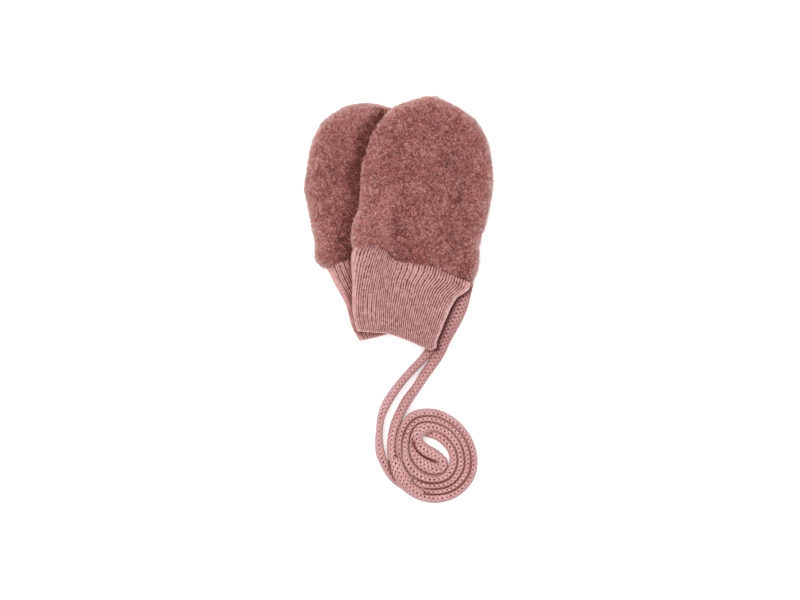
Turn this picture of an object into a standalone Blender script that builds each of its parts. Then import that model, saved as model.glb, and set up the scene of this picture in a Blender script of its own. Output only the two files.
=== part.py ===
"""Pair of baby mittens on one knitted cord, laid flat on a surface.

The rear mitten lies on the surface and the front mitten lies over it, turned the other way, so that
its right side comes down to the surface. Each has two fleece hand panels with a side seam between
them and a doubled rib-knit cuff. One cord joins the two; its middle is doubled and rolled up flat.
Lengths in this file are millimetres, turned into metres where a mesh is made. +Z is up, +Y points to
the fingertips, and the origin is under the middle of the two mittens.
"""

from dataclasses import dataclass
import math

import bmesh
import bpy
import numpy as np

MM = 0.001

# Gaps between neighbours.
SEAM_GAP = 0.3
JOIN_GAP = 0.45

# Fleece hands.
FLEECE_WALL = 3.8
FLEECE_WALL_AT_JOIN = 2.4
BELLY = 4.0
BELLY_AT_JOIN = 3.1
CROWN_AT_JOIN = 0.58
JOIN_TAPER = 12.0
BELLY_ROUNDING = 5.5
FRONT_CROWN = 6.3
REAR_CROWN = 4.1
REAR_FULLNESS = 1.9
REAR_FULL_START = 2.0
REAR_FULL_RISE = 12.0
HAND_ROWS = 20

# Where rows or columns of points lie closer: place as a fraction, width and strength.
CLOSE_ENDS = ((0.0, 0.05, 3.0), (1.0, 0.05, 3.0))
CLOSE_BY_TUCK = (0.31, 0.07, 1.8)

# Rib-knit cuffs.
CUFF_HALF_THICKNESS = 2.9
CUFF_WALL = 2.3
CUFF_ROUNDING = 3.2
CUFF_RIBS = 38
RIB_HEIGHT = 0.42
RIB_AT_MOUTH = 0.5
MOUTH_ROUNDING = 0.5
UNDER_COLUMNS = 14
CUFF_ROWS = (0.0, 0.03, 0.16, 0.32, 0.5, 0.68, 0.85, 1.0)

# Where the front mitten's underside runs above the surface.
OVER_FLEECE = 8.6
OVER_CUFF = 6.6
OVER_CORD = 5.9
DROP_LENGTH = 20.0
DROP_LEAD = 5.0
JOIN_CLEARANCE = 2.0
JOIN_RISE = 14.0
MOUTH_DROP = 8.0

# The soft tuck in the front hand, beside the cuff.
TUCK_HEIGHT = 2.4
TUCK_EDGE_X = -3.2
TUCK_EDGE_WIDTH = 3.0
TUCK_LEFT_X = -34.0
TUCK_LEFT_FADE = 18.0
TUCK_TOP_Y = 30.0
TUCK_TOP_FADE = 28.0

# Cord and its rolled-up middle.
CORD_RADIUS = 2.7
CORD_Z = 2.72
COIL_CENTRE = (21.3, -138.3)
COIL_START_ANGLE = 22.0
COIL_END_ANGLE = 380.5
COIL_OUTER_RADIUS = 31.9
COIL_SHRINK_PER_DEGREE = 0.024
COIL_ENTRY_BULGE = 1.3
COIL_ENTRY_FADE = 15.0
COIL_TUCK_IN = 2.2
COIL_TUCK_START = 305.0
COIL_TUCK_LENGTH = 45.0
COIL_OVAL = 0.9
COIL_OVAL_ANGLE = 135.0
COIL_SECTIONS = 64
HOLE_CENTRE = (24.0, -136.4)
HOLE_HALF_LENGTH = 10.6
HOLE_HALF_WIDTH = 2.9
HOLE_ANGLE = -47.0

# Section of the rolled cord: columns are the distance in from its edge and the height.
COIL_EDGE = ((0.9, 0.0), (0.0, 1.6), (0.0, 4.2), (1.0, 5.9), (2.6, 6.4))

# Outlines seen from above. Columns are x and y; side edges run from the cuff to the fingertips.
FRONT_HAND_LEFT = (
    (-27.9, -14.7), (-29.1, -8.5), (-27.3, 0.9), (-24.7, 5.8), (-23.5, 16.0),
    (-22.5, 33.3), (-19.4, 44.5), (-14.7, 56.1),
)
FRONT_HAND_TIP = (
    (-14.7, 56.1), (-10.5, 62.1), (-2.5, 69.2), (8.1, 73.5), (18.9, 76.5),
    (28.5, 73.5), (38.0, 68.3), (45.9, 62.7),
)
FRONT_HAND_RIGHT = (
    (45.0, -35.8), (47.6, -29.0), (48.9, -12.9), (53.1, 1.5), (56.5, 18.0),
    (56.1, 38.0), (52.6, 51.5), (45.9, 62.7),
)
FRONT_JOIN = (
    (-27.9, -14.7), (-24.0, -15.0), (-18.9, -13.8), (-12.3, -14.1), (-7.5, -16.2),
    (-2.1, -21.6), (9.3, -23.7), (19.5, -25.5), (32.7, -30.9), (45.0, -35.8),
)
FRONT_CUFF_LEFT = ((-24.9, -65.3), (-26.9, -58.0), (-27.9, -34.5), (-28.3, -22.0))
FRONT_CUFF_RIGHT = (
    (24.6, -74.6), (24.7, -68.7), (28.0, -60.8), (32.4, -50.5), (35.4, -44.8),
)
FRONT_MOUTH = (
    (-24.9, -65.3), (-17.0, -65.9), (-6.3, -66.9), (4.5, -70.5), (14.0, -74.6), (21.0, -76.5),
    (24.6, -74.6),
)
REAR_HAND_LEFT = (
    (-45.3, -27.3), (-49.4, -23.6), (-50.2, -13.0), (-53.9, 5.1), (-56.4, 19.5),
    (-54.6, 37.5), (-51.4, 50.5), (-47.1, 59.1),
)
REAR_HAND_TIP = (
    (-47.1, 59.1), (-41.0, 64.7), (-32.7, 69.9), (-20.1, 72.3), (-7.5, 69.9), (3.0, 66.0),
    (12.0, 59.5),
)
REAR_HAND_RIGHT = (
    (26.1, -10.5), (27.8, -2.0), (28.6, 12.0), (28.2, 28.0), (24.5, 42.0), (19.0, 52.0),
    (12.0, 59.5),
)
REAR_JOIN = (
    (-45.3, -27.3), (-42.3, -26.7), (-35.7, -23.3), (-22.0, -20.8), (4.0, -15.2), (26.1, -10.5),
)
REAR_CUFF_LEFT = ((-23.6, -71.2), (-27.9, -63.3), (-32.1, -48.9), (-38.9, -36.5))
REAR_CUFF_RIGHT = ((22.3, -58.6), (22.9, -46.0), (23.2, -30.0))
REAR_MOUTH = ((-23.6, -71.2), (-14.7, -69.4), (0.0, -65.2), (12.0, -61.6), (22.3, -58.6))

# Line right of which the front mitten comes down. Columns are x and y.
DROP_EDGE = (
    (31.5, -80.0), (30.5, -58.0), (30.5, -36.0), (29.5, -22.0), (28.0, -10.0), (28.3, 5.0),
    (28.8, 20.0), (27.6, 36.0), (21.0, 52.0), (13.0, 62.0), (6.0, 70.0), (2.0, 80.0),
)

# Routes of the two strands from the mittens to the coil. Columns are x and y.
FRONT_STRAND = (
    (42.8, -35.6), (41.9, -38.6), (40.7, -42.4), (38.7, -48.9), (35.7, -56.1), (32.0, -63.3),
    (27.8, -70.5), (24.1, -77.7), (19.8, -84.9), (14.9, -92.1), (10.2, -99.3), (5.1, -106.5),
    (1.2, -113.7), (-1.8, -120.9), (-3.3, -128.1), (-3.7, -135.3), (-2.75, -142.3), (-1.48, -146.4),
)
REAR_STRAND = (
    (26.9, -11.4), (27.1, -17.0), (27.4, -26.0), (27.4, -36.0), (26.9, -46.0), (26.2, -56.0),
    (24.8, -61.5), (22.7, -66.5), (20.0, -71.7), (17.4, -76.6), (14.0, -81.3), (7.2, -88.5),
    (1.2, -95.7), (-3.9, -102.9), (-8.1, -110.1), (-11.0, -117.3), (-12.2, -124.5),
    (-12.3, -131.7), (-11.1, -138.9), (-8.9, -144.8), (-6.66, -148.8),
)
STRAND_STEP = 4.0 * CORD_RADIUS


def clear_scene():
    """Remove every object."""
    for item in list(bpy.data.objects):
        bpy.data.objects.remove(item, do_unlink=True)


def cloth_material(name, colour, roughness):
    """A matt cloth finish."""
    finish = bpy.data.materials.new(name)
    finish.use_nodes = True
    shader = finish.node_tree.nodes["Principled BSDF"]
    shader.inputs["Base Color"].default_value = (*colour, 1.0)
    shader.inputs["Roughness"].default_value = roughness
    shader.inputs["Metallic"].default_value = 0.0
    return finish


def smoothstep(amount):
    """0 below 0, 1 above 1, and a smooth rise between."""
    amount = np.clip(amount, 0.0, 1.0)
    return amount * amount * (3.0 - 2.0 * amount)


def rounded(amount):
    """Height of a quarter circle, 0 at its edge and 1 from one radius in."""
    return np.sqrt(1.0 - (1.0 - np.clip(amount, 0.0, 1.0)) ** 2)


def smooth_curve(points, fractions):
    """Points at fractions of the length of a smooth curve through the given ones."""
    knots = np.asarray(points, dtype=float)
    chord = np.concatenate([[0.0], np.cumsum(np.linalg.norm(np.diff(knots, axis=0), axis=1))])
    slopes = np.gradient(knots, chord, axis=0)
    dense = np.linspace(0.0, chord[-1], 800)
    span = np.clip(np.searchsorted(chord, dense, "right") - 1, 0, len(chord) - 2)
    width = (chord[span + 1] - chord[span])[:, None]
    t = (dense - chord[span])[:, None] / width
    curve = knots[span] * (1.0 + 2.0 * t) * (1.0 - t) ** 2
    curve += knots[span + 1] * t * t * (3.0 - 2.0 * t)
    curve += slopes[span] * width * t * (1.0 - t) ** 2
    curve += slopes[span + 1] * width * t * t * (t - 1.0)
    run = np.concatenate([[0.0], np.cumsum(np.linalg.norm(np.diff(curve, axis=0), axis=1))])
    wanted = np.asarray(fractions) * run[-1]
    return np.stack([np.interp(wanted, run, column) for column in curve.T], axis=1)


def curve_length(points):
    """Length of the line through the points."""
    return np.linalg.norm(np.diff(points, axis=0), axis=1).sum()


def spaced(count, close_places):
    """Fractions from 0 to 1 in count steps, closer together near each (place, width, strength)."""
    line = np.linspace(0.0, 1.0, 400)
    density = np.ones_like(line)
    for place, width, strength in close_places:
        density += strength * np.exp(-(((line - place) / width) ** 2))
    run = np.concatenate([[0.0], np.cumsum((density[1:] + density[:-1]) / 2.0)])
    return np.interp(np.linspace(0.0, run[-1], count + 1), run, line)


def side_normals(points):
    """Unit normals to the right of a line, in plan."""
    along = np.gradient(points, axis=0)
    along /= np.linalg.norm(along, axis=1)[:, None]
    return np.stack([along[:, 1], -along[:, 0]], axis=1)


def patch(edges, u, v):
    """Plan points at u across and v up an area between four edges: low, high, left and right."""
    low, high, left, right = edges
    on_low, on_high = (smooth_curve(line, u.ravel()).reshape(*u.shape, 2) for line in (low, high))
    on_left, on_right = (smooth_curve(line, v.ravel()).reshape(*v.shape, 2) for line in (left, right))
    u, v = u[..., None], v[..., None]
    corners = (1 - v) * ((1 - u) * np.asarray(low[0]) + u * np.asarray(low[-1]))
    corners += v * ((1 - u) * np.asarray(high[0]) + u * np.asarray(high[-1]))
    return (1 - v) * on_low + v * on_high + (1 - u) * on_left + u * on_right - corners


def distance_to(grid, line):
    """Distance in plan from each grid point to a line through points."""
    start = line[:-1]
    step = line[1:] - start
    offset = grid[..., None, :] - start
    share = np.clip((offset * step).sum(-1) / (step * step).sum(-1), 0.0, 1.0)
    return np.linalg.norm(offset - share[..., None] * step, axis=-1).min(axis=-1)


def x_at(line, y):
    """x of a smooth line through points whose y rises, at each y."""
    curve = smooth_curve(line, np.linspace(0.0, 1.0, 120))
    return np.interp(y, curve[:, 1], curve[:, 0])


def on_surface(x, y):
    """Underside of the rear mitten, flat on the surface."""
    return np.zeros_like(x)


def above_line(ends, x, y):
    """Distance in y of each point above the straight line between two ends."""
    (left_x, left_y), (right_x, right_y) = ends
    return y - left_y - (x - left_x) * (right_y - left_y) / (right_x - left_x)


def over_rear(x, y):
    """Underside of the front mitten: over the rear hand, cuff and strand, then down to the surface."""
    past_join = above_line((REAR_JOIN[0], REAR_JOIN[-1]), x, y) + JOIN_CLEARANCE
    past_mouth = -above_line((REAR_MOUTH[0], REAR_MOUTH[-1]), x, y)
    level = OVER_CUFF + (OVER_FLEECE - OVER_CUFF) * smoothstep(past_join / JOIN_RISE)
    level = level + (OVER_CORD - OVER_CUFF) * smoothstep(past_mouth / MOUTH_DROP)
    return level * (1.0 - smoothstep((x - x_at(DROP_EDGE, y) + DROP_LEAD) / DROP_LENGTH))


def front_crown(x, y):
    """Height of the front hand above its side seam, with the soft tuck beside the cuff."""
    step = smoothstep((TUCK_EDGE_X + TUCK_EDGE_WIDTH - x) / TUCK_EDGE_WIDTH)
    left_fade = smoothstep((x - TUCK_LEFT_X) / TUCK_LEFT_FADE)
    top_fade = smoothstep((TUCK_TOP_Y - y) / TUCK_TOP_FADE)
    return FRONT_CROWN + TUCK_HEIGHT * step * left_fade * top_fade


def rear_crown(x, y):
    """Height of the rear hand above its side seam, fuller where the front mitten doesn't press it."""
    front_edge = x_at(FRONT_HAND_LEFT + FRONT_HAND_TIP[1:5], y)
    return REAR_CROWN + REAR_FULLNESS * smoothstep((front_edge - REAR_FULL_START - x) / REAR_FULL_RISE)


@dataclass(frozen=True)
class Mitten:
    """One mitten: its hand and cuff outlines, what it lies on, and how full its hand is."""

    hand: tuple
    cuff_left: tuple
    cuff_right: tuple
    mouth: tuple
    cuff_span: tuple
    underside: object
    crown: object
    crown_rounding: float
    columns: int
    close_columns: tuple


FRONT = Mitten(
    hand=(FRONT_JOIN, FRONT_HAND_TIP, FRONT_HAND_LEFT, FRONT_HAND_RIGHT),
    cuff_left=FRONT_CUFF_LEFT,
    cuff_right=FRONT_CUFF_RIGHT,
    mouth=FRONT_MOUTH,
    cuff_span=(0.006, 0.925),
    underside=over_rear,
    crown=front_crown,
    crown_rounding=12.0,
    columns=22,
    close_columns=(*CLOSE_ENDS, CLOSE_BY_TUCK),
)
REAR = Mitten(
    hand=(REAR_JOIN, REAR_HAND_TIP, REAR_HAND_LEFT, REAR_HAND_RIGHT),
    cuff_left=REAR_CUFF_LEFT,
    cuff_right=REAR_CUFF_RIGHT,
    mouth=REAR_MOUTH,
    cuff_span=(0.025, 0.96),
    underside=on_surface,
    crown=rear_crown,
    crown_rounding=9.0,
    columns=18,
    close_columns=CLOSE_ENDS,
)


def mesh_object(name, points, faces, material):
    """A closed mesh object from millimetre points, with its faces turned outward."""
    mesh = bpy.data.meshes.new(name)
    mesh.from_pydata((np.asarray(points) * MM).tolist(), [], faces)
    builder = bmesh.new()
    builder.from_mesh(mesh)
    bmesh.ops.recalc_face_normals(builder, faces=builder.faces)
    builder.to_mesh(mesh)
    builder.free()
    mesh.shade_smooth()
    mesh.materials.append(material)
    item = bpy.data.objects.new(name, mesh)
    bpy.context.scene.collection.objects.link(item)
    return item


def grid_faces(rows, columns, first, closed):
    """Quads of a grid whose points start at first, joined round its columns if closed."""
    faces = []
    for row in range(rows - 1):
        low = first + row * columns
        for column in range(columns if closed else columns - 1):
            beside = (column + 1) % columns
            faces.append((low + column, low + beside, low + columns + beside, low + columns + column))
    return faces


def rim_faces(outer, inner):
    """Quads between two matching closed loops of point numbers."""
    count = len(outer)
    return [
        (outer[i], outer[(i + 1) % count], inner[(i + 1) % count], inner[i]) for i in range(count)
    ]


def inset(fractions, share):
    """Fractions drawn in from both ends by a share of the whole."""
    return share + (1.0 - 2.0 * share) * fractions


def hand_panel(mitten, upper, name, material):
    """One fleece panel: a wall between an outer and an inner grid, with its rim on the side seam."""
    across = spaced(mitten.columns, mitten.close_columns)
    up = spaced(HAND_ROWS, CLOSE_ENDS)
    u, v = np.meshgrid(across, up)
    join, _, left, right = (np.asarray(edge) for edge in mitten.hand)
    width_share = FLEECE_WALL / np.linalg.norm(right.mean(axis=0) - left.mean(axis=0))
    length_share = FLEECE_WALL / curve_length(right)
    outer = patch(mitten.hand, u, v)
    inner = patch(mitten.hand, inset(u, width_share), v * (1.0 - length_share))
    side = 1.0 if upper else -1.0
    join_line = smooth_curve(join, np.linspace(0.0, 1.0, 40))
    walls = []
    for plan, is_inner in ((outer, 0.0), (inner, 1.0)):
        x, y = plan[..., 0], plan[..., 1]
        seam = np.concatenate([plan[:, 0], plan[-1, 1:-1], plan[::-1, -1]])
        from_seam = distance_to(plan, seam)
        from_join = distance_to(plan, join_line) / JOIN_TAPER
        belly = BELLY_AT_JOIN + (BELLY - BELLY_AT_JOIN) * smoothstep(from_join)
        wall = FLEECE_WALL_AT_JOIN + (FLEECE_WALL - FLEECE_WALL_AT_JOIN) * smoothstep(from_join)
        if upper:
            full = mitten.crown(x, y) * (CROWN_AT_JOIN + (1.0 - CROWN_AT_JOIN) * rounded(from_join))
            roundness = rounded(from_seam / mitten.crown_rounding)
        else:
            full = belly
            roundness = rounded(from_seam / BELLY_ROUNDING)
        height = SEAM_GAP / 2.0 + (full - is_inner * wall - SEAM_GAP / 2.0) * roundness
        walls.append(np.dstack([x, y, mitten.underside(x, y) + belly + side * height]))
    rows, columns = u.shape
    count = rows * columns
    numbers = np.arange(count).reshape(rows, columns)
    loop = np.concatenate([numbers[0, :-1], numbers[:-1, -1], numbers[-1, :0:-1], numbers[:0:-1, 0]])
    faces = grid_faces(rows, columns, 0, False) + grid_faces(rows, columns, count, False)
    faces += rim_faces(loop.tolist(), (loop + count).tolist())
    return mesh_object(name, np.concatenate(walls).reshape(-1, 3), faces, material)


def cuff(mitten, name, material):
    """A doubled rib-knit tube, flattened, with ribs on its upper side and an open mouth."""
    upper = np.linspace(0.0, 1.0, 2 * CUFF_RIBS + 1)
    under = spaced(UNDER_COLUMNS, CLOSE_ENDS)[-2:0:-1]
    side = np.concatenate([np.ones_like(upper), -np.ones_like(under)])
    ribs = np.concatenate([np.arange(len(upper)) % 2, np.zeros_like(under)])
    u, v = np.meshgrid(np.concatenate([upper, under]), CUFF_ROWS)
    at_mouth = v == 0.0
    join = smooth_curve(mitten.hand[0], np.linspace(*mitten.cuff_span, 60))
    join = join + JOIN_GAP * side_normals(join)
    left = (*mitten.cuff_left, tuple(join[0]))
    right = (*mitten.cuff_right, tuple(join[-1]))
    edges = (mitten.mouth, join, left, right)
    width = np.linalg.norm(smooth_curve(right, CUFF_ROWS) - smooth_curve(left, CUFF_ROWS), axis=1)[:, None]
    rings = []
    for wall in (0.0, CUFF_WALL):
        plan = patch(edges, inset(u, wall / width), v)
        x, y = plan[..., 0], plan[..., 1]
        from_edge = np.minimum(u, 1.0 - u) * (width - 2.0 * wall)
        roundness = rounded(from_edge / (CUFF_ROUNDING - wall / 2.0))
        mouth_change = MOUTH_ROUNDING * (1.0 if wall else -1.0) * at_mouth
        height = CUFF_HALF_THICKNESS - wall + mouth_change
        if wall == 0.0:
            height = height + RIB_HEIGHT * ribs * np.where(at_mouth, RIB_AT_MOUTH, 1.0)
        z = mitten.underside(x, y) + CUFF_HALF_THICKNESS + side * height * roundness
        rings.append(np.dstack([x, y, z]))
    rows, columns = u.shape
    count = rows * columns
    faces = grid_faces(rows, columns, 0, True) + grid_faces(rows, columns, count, True)
    mouth = np.arange(columns)
    for loop in (mouth, mouth + count - columns):
        faces += rim_faces(loop.tolist(), (loop + count).tolist())
    return mesh_object(name, np.concatenate(rings).reshape(-1, 3), faces, material)


def strand(route, name, material):
    """A cord tube with filled ends, lying on the surface along a smooth curve through its route."""
    count = round(curve_length(np.asarray(route)) / STRAND_STEP)
    line = bpy.data.curves.new(name, "CURVE")
    line.dimensions = "3D"
    line.bevel_depth = CORD_RADIUS * MM
    line.bevel_resolution = 2
    line.use_fill_caps = True
    spline = line.splines.new("POLY")
    spline.points.add(count - 1)
    for point, (x, y) in zip(spline.points, smooth_curve(route, np.linspace(0.0, 1.0, count))):
        point.co = (x * MM, y * MM, CORD_Z * MM, 1.0)
    line.materials.append(material)
    item = bpy.data.objects.new(name, line)
    bpy.context.scene.collection.objects.link(item)
    return item


def coil_radius(angle):
    """Outer radius of the rolled cord, whose strands enter at its start angle and wind inward."""
    entry = COIL_ENTRY_BULGE * np.exp((COIL_START_ANGLE - angle) / COIL_ENTRY_FADE)
    beside_strand = COIL_TUCK_IN * smoothstep((angle - COIL_TUCK_START) / COIL_TUCK_LENGTH)
    oval = COIL_OVAL * np.cos(np.radians(2.0 * (angle - COIL_OVAL_ANGLE)))
    return COIL_OUTER_RADIUS - COIL_SHRINK_PER_DEGREE * angle + oval + entry - beside_strand


def coil(name, material):
    """The rolled-up middle of the cord as one flat ring, with the face that its two strands meet."""
    angles = np.linspace(COIL_START_ANGLE, COIL_END_ANGLE, COIL_SECTIONS)
    turn = np.radians(angles)
    outward = -np.stack([np.cos(turn), np.sin(turn)], axis=1)
    outer = np.asarray(COIL_CENTRE) + coil_radius(angles)[:, None] * outward
    tilt = math.radians(HOLE_ANGLE)
    long_axis = np.array([math.cos(tilt), math.sin(tilt)])
    short_axis = np.array([-math.sin(tilt), math.cos(tilt)])
    along = (outward @ long_axis)[:, None] * long_axis * HOLE_HALF_LENGTH
    inner = np.asarray(HOLE_CENTRE) + along + (outward @ short_axis)[:, None] * short_axis * HOLE_HALF_WIDTH
    across = outer - inner
    across /= np.linalg.norm(across, axis=1)[:, None]
    section = [inner + across * depth for depth, _ in COIL_EDGE]
    section += [outer - across * depth for depth, _ in reversed(COIL_EDGE)]
    heights = [height for _, height in COIL_EDGE] + [height for _, height in reversed(COIL_EDGE)]
    rings = [np.column_stack([ring, np.full(len(ring), z)]) for ring, z in zip(section, heights)]
    points = np.stack(rings, axis=1)
    columns = len(heights)
    faces = grid_faces(COIL_SECTIONS, columns, 0, True)
    last = (COIL_SECTIONS - 1) * columns
    faces += rim_faces(list(range(columns)), list(range(last, last + columns)))
    return mesh_object(name, points.reshape(-1, 3), faces, material)


def main():
    """Build the mittens and their cord."""
    clear_scene()
    fleece = cloth_material("fleece", (0.36, 0.13, 0.115), 0.95)
    rib = cloth_material("rib_knit", (0.49, 0.24, 0.235), 0.9)
    knit = cloth_material("cord_knit", (0.49, 0.25, 0.25), 0.9)
    for mitten, name in ((REAR, "rear"), (FRONT, "front")):
        hand_panel(mitten, False, name + "_hand_palm", fleece)
        hand_panel(mitten, True, name + "_hand_back", fleece)
        cuff(mitten, name + "_cuff", rib)
    strand(FRONT_STRAND, "cord_front_strand", knit)
    strand(REAR_STRAND, "cord_rear_strand", knit)
    coil("cord_coil", knit)


main()
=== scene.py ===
"""Looks of a pair of baby mittens on one knitted cord, laid flat on a pale surface.

Brushed fleece hands with a nap of short fibres, fine rib-knit cuffs and a machine-knit tube cord whose
doubled middle is rolled up flat. Tables and sizes are in millimetres and are turned into metres where a
mesh is made. +Z is up, +Y points to the fingertips and the surface is at z = 0.
"""

import logging
import math
from dataclasses import dataclass
from enum import Enum
from typing import Any, Callable

import bpy
import numpy as np
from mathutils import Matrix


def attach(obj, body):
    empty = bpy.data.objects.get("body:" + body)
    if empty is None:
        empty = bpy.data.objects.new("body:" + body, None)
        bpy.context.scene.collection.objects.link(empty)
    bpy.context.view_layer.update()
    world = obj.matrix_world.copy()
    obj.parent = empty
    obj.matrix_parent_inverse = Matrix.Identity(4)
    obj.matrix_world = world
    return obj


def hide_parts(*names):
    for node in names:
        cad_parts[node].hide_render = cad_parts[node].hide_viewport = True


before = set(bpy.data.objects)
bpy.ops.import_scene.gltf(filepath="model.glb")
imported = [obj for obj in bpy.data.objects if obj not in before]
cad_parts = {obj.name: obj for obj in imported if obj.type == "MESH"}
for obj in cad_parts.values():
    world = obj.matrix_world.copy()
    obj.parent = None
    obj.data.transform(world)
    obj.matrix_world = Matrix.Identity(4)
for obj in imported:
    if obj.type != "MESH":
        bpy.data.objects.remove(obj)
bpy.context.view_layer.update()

MM = 0.001
BODY = "root"
LOG = logging.getLogger("mittens")

# Types: numbers in an array, rows of a table, a linear colour, a finish, the place and length of a smooth
# step, and a number all over the plan, worked out from x and y in millimetres.
Array = np.ndarray
Points = tuple[tuple[float, ...], ...]
Colour = tuple[float, float, float]
Finish = bpy.types.Material
Step = tuple[float, float]
Field = Callable[[Array, Array], Array]

# Places, widths and strengths that bring a grid's lines closer at both its ends.
CLOSE_ENDS: Points = ((0.0, 0.03, 4.0), (1.0, 0.03, 4.0))
# Points that stand for a smooth line: a coarse one, one that is read for its x, and one that is measured.
LINE_POINTS, READ_POINTS, MEASURED_POINTS = 40, 120, 800
# Side of the lattice of random values, and steps that keep its coordinates above 0.
LATTICE, LATTICE_SHIFT = 64, 1000.0
# Sheen and gloss that every cloth shares, and the strength of fine grains in its noises.
SHEEN_ROUGHNESS, CLOTH_GLOSS, FINE_GRAIN = 0.6, 0.15, 0.6
WHITE: Colour = (1.0, 1.0, 1.0)

# Outlines seen from above. Columns are x and y; side edges run from the cuff to the fingertips.
FRONT_HAND_LEFT: Points = (
    (-27.0, -14.9), (-28.1, -12.4), (-28.6, -8.5), (-26.4, 0.9), (-24.3, 6.6), (-22.9, 16.0),
    (-21.9, 33.3), (-18.8, 44.5), (-14.2, 56.1),
)
FRONT_HAND_TIP: Points = (
    (-14.2, 56.1), (-10.2, 61.9), (-2.5, 69.2), (8.1, 73.5), (18.9, 76.5),
    (28.5, 73.5), (38.0, 68.3), (45.9, 62.7),
)
FRONT_HAND_RIGHT: Points = (
    (45.0, -35.8), (47.6, -29.0), (48.9, -12.9), (53.1, 1.5), (56.5, 18.0),
    (56.1, 38.0), (52.6, 51.5), (45.9, 62.7),
)
FRONT_JOIN: Points = (
    (-27.0, -14.9), (-24.0, -15.0), (-18.9, -13.8), (-12.3, -14.1), (-7.5, -16.2),
    (-2.1, -21.6), (9.3, -23.7), (19.5, -25.5), (32.7, -30.9), (45.0, -35.8),
)
FRONT_CUFF_LEFT: Points = (
    (-24.9, -65.3), (-26.9, -58.0), (-27.9, -34.5), (-28.5, -22.5), (-27.9, -17.2),
)
FRONT_CUFF_RIGHT: Points = (
    (22.8, -75.2), (23.4, -70.5), (24.9, -67.0), (26.65, -62.5), (29.6, -55.6), (31.4, -51.5),
    (33.4, -48.0), (35.2, -45.3), (37.5, -43.6), (40.0, -42.1), (42.4, -40.2),
)
FRONT_MOUTH: Points = (
    (-24.9, -65.3), (-17.0, -65.9), (-6.3, -66.9), (4.5, -70.5), (14.0, -74.6), (20.2, -76.6),
    (22.8, -75.2),
)
REAR_HAND_LEFT: Points = (
    (-45.3, -27.3), (-49.4, -23.6), (-50.2, -13.0), (-53.9, 5.1), (-56.4, 19.5),
    (-54.6, 37.5), (-51.4, 50.5), (-47.1, 59.1),
)
REAR_HAND_TIP: Points = (
    (-47.1, 59.1), (-41.0, 64.7), (-32.7, 69.9), (-20.1, 72.3), (-7.5, 69.9), (3.0, 66.0),
    (12.0, 59.5),
)
REAR_HAND_RIGHT: Points = (
    (26.1, -10.5), (27.8, -2.0), (28.6, 12.0), (28.2, 28.0), (24.5, 42.0), (19.0, 52.0),
    (12.0, 59.5),
)
REAR_JOIN: Points = (
    (-45.3, -27.3), (-42.3, -26.7), (-35.7, -23.3), (-22.0, -20.8), (4.0, -15.2), (26.1, -10.5),
)
REAR_CUFF_LEFT: Points = ((-23.6, -71.2), (-27.9, -63.3), (-32.1, -48.9), (-38.9, -36.5))
REAR_CUFF_RIGHT: Points = ((22.3, -58.6), (22.9, -46.0), (23.2, -30.0))
REAR_MOUTH: Points = ((-23.6, -71.2), (-14.7, -69.4), (0.0, -65.2), (12.0, -61.6), (22.3, -58.6))

# Line right of which the front mitten comes down to the surface. Columns are x and y.
DROP_EDGE: Points = (
    (31.5, -80.0), (30.5, -58.0), (30.5, -36.0), (29.5, -22.0), (28.0, -10.0), (28.3, 5.0),
    (28.8, 20.0), (27.6, 36.0), (21.0, 52.0), (13.0, 62.0), (6.0, 70.0), (2.0, 80.0),
)

# Free strands of the cord, from each mitten to the coil. Columns are x, y, width and height.
FRONT_STRAND: Points = (
    (42.8, -35.6, 5.4, 2.6), (41.9, -38.6, 6.0, 2.8), (40.1, -42.4, 7.8, 3.2), (37.7, -48.9, 9.3, 3.6),
    (34.6, -56.1, 9.5, 3.7), (31.0, -63.3, 9.0, 3.8), (27.5, -70.5, 8.2, 3.8), (24.7, -77.0, 8.0, 4.0),
    (22.6, -81.3, 7.2, 4.2), (20.5, -84.9, 6.4, 4.4), (15.5, -92.1, 6.1, 4.6), (10.9, -99.3, 5.7, 4.6),
    (5.6, -106.5, 6.2, 4.6), (1.5, -113.7, 5.9, 4.6), (-1.6, -120.9, 6.1, 4.6), (-3.1, -128.1, 6.5, 4.5),
    (-3.5, -135.3, 7.0, 4.5), (-2.75, -142.3, 7.6, 4.2),
)
REAR_STRAND: Points = (
    (26.9, -11.4, 5.0, 5.0), (27.1, -17.0, 5.0, 5.0), (27.4, -26.0, 5.0, 5.0), (27.4, -36.0, 5.0, 5.0),
    (26.9, -46.0, 5.0, 5.0), (26.2, -56.0, 5.0, 5.0), (24.8, -61.5, 5.0, 5.0), (22.7, -66.5, 5.0, 5.0),
    (21.0, -71.7, 4.8, 5.0), (18.8, -76.6, 5.2, 5.0), (15.3, -81.3, 5.2, 5.0), (8.4, -88.5, 5.0, 5.0),
    (2.0, -95.7, 5.1, 5.0), (-3.5, -102.9, 5.5, 5.0), (-7.8, -110.1, 5.5, 5.0),
    (-10.5, -117.3, 4.7, 5.0), (-11.5, -124.5, 4.3, 5.0), (-11.8, -131.7, 4.8, 5.0),
    (-11.0, -138.9, 5.6, 4.6), (-8.9, -144.8, 5.1, 4.0),
)

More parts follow.
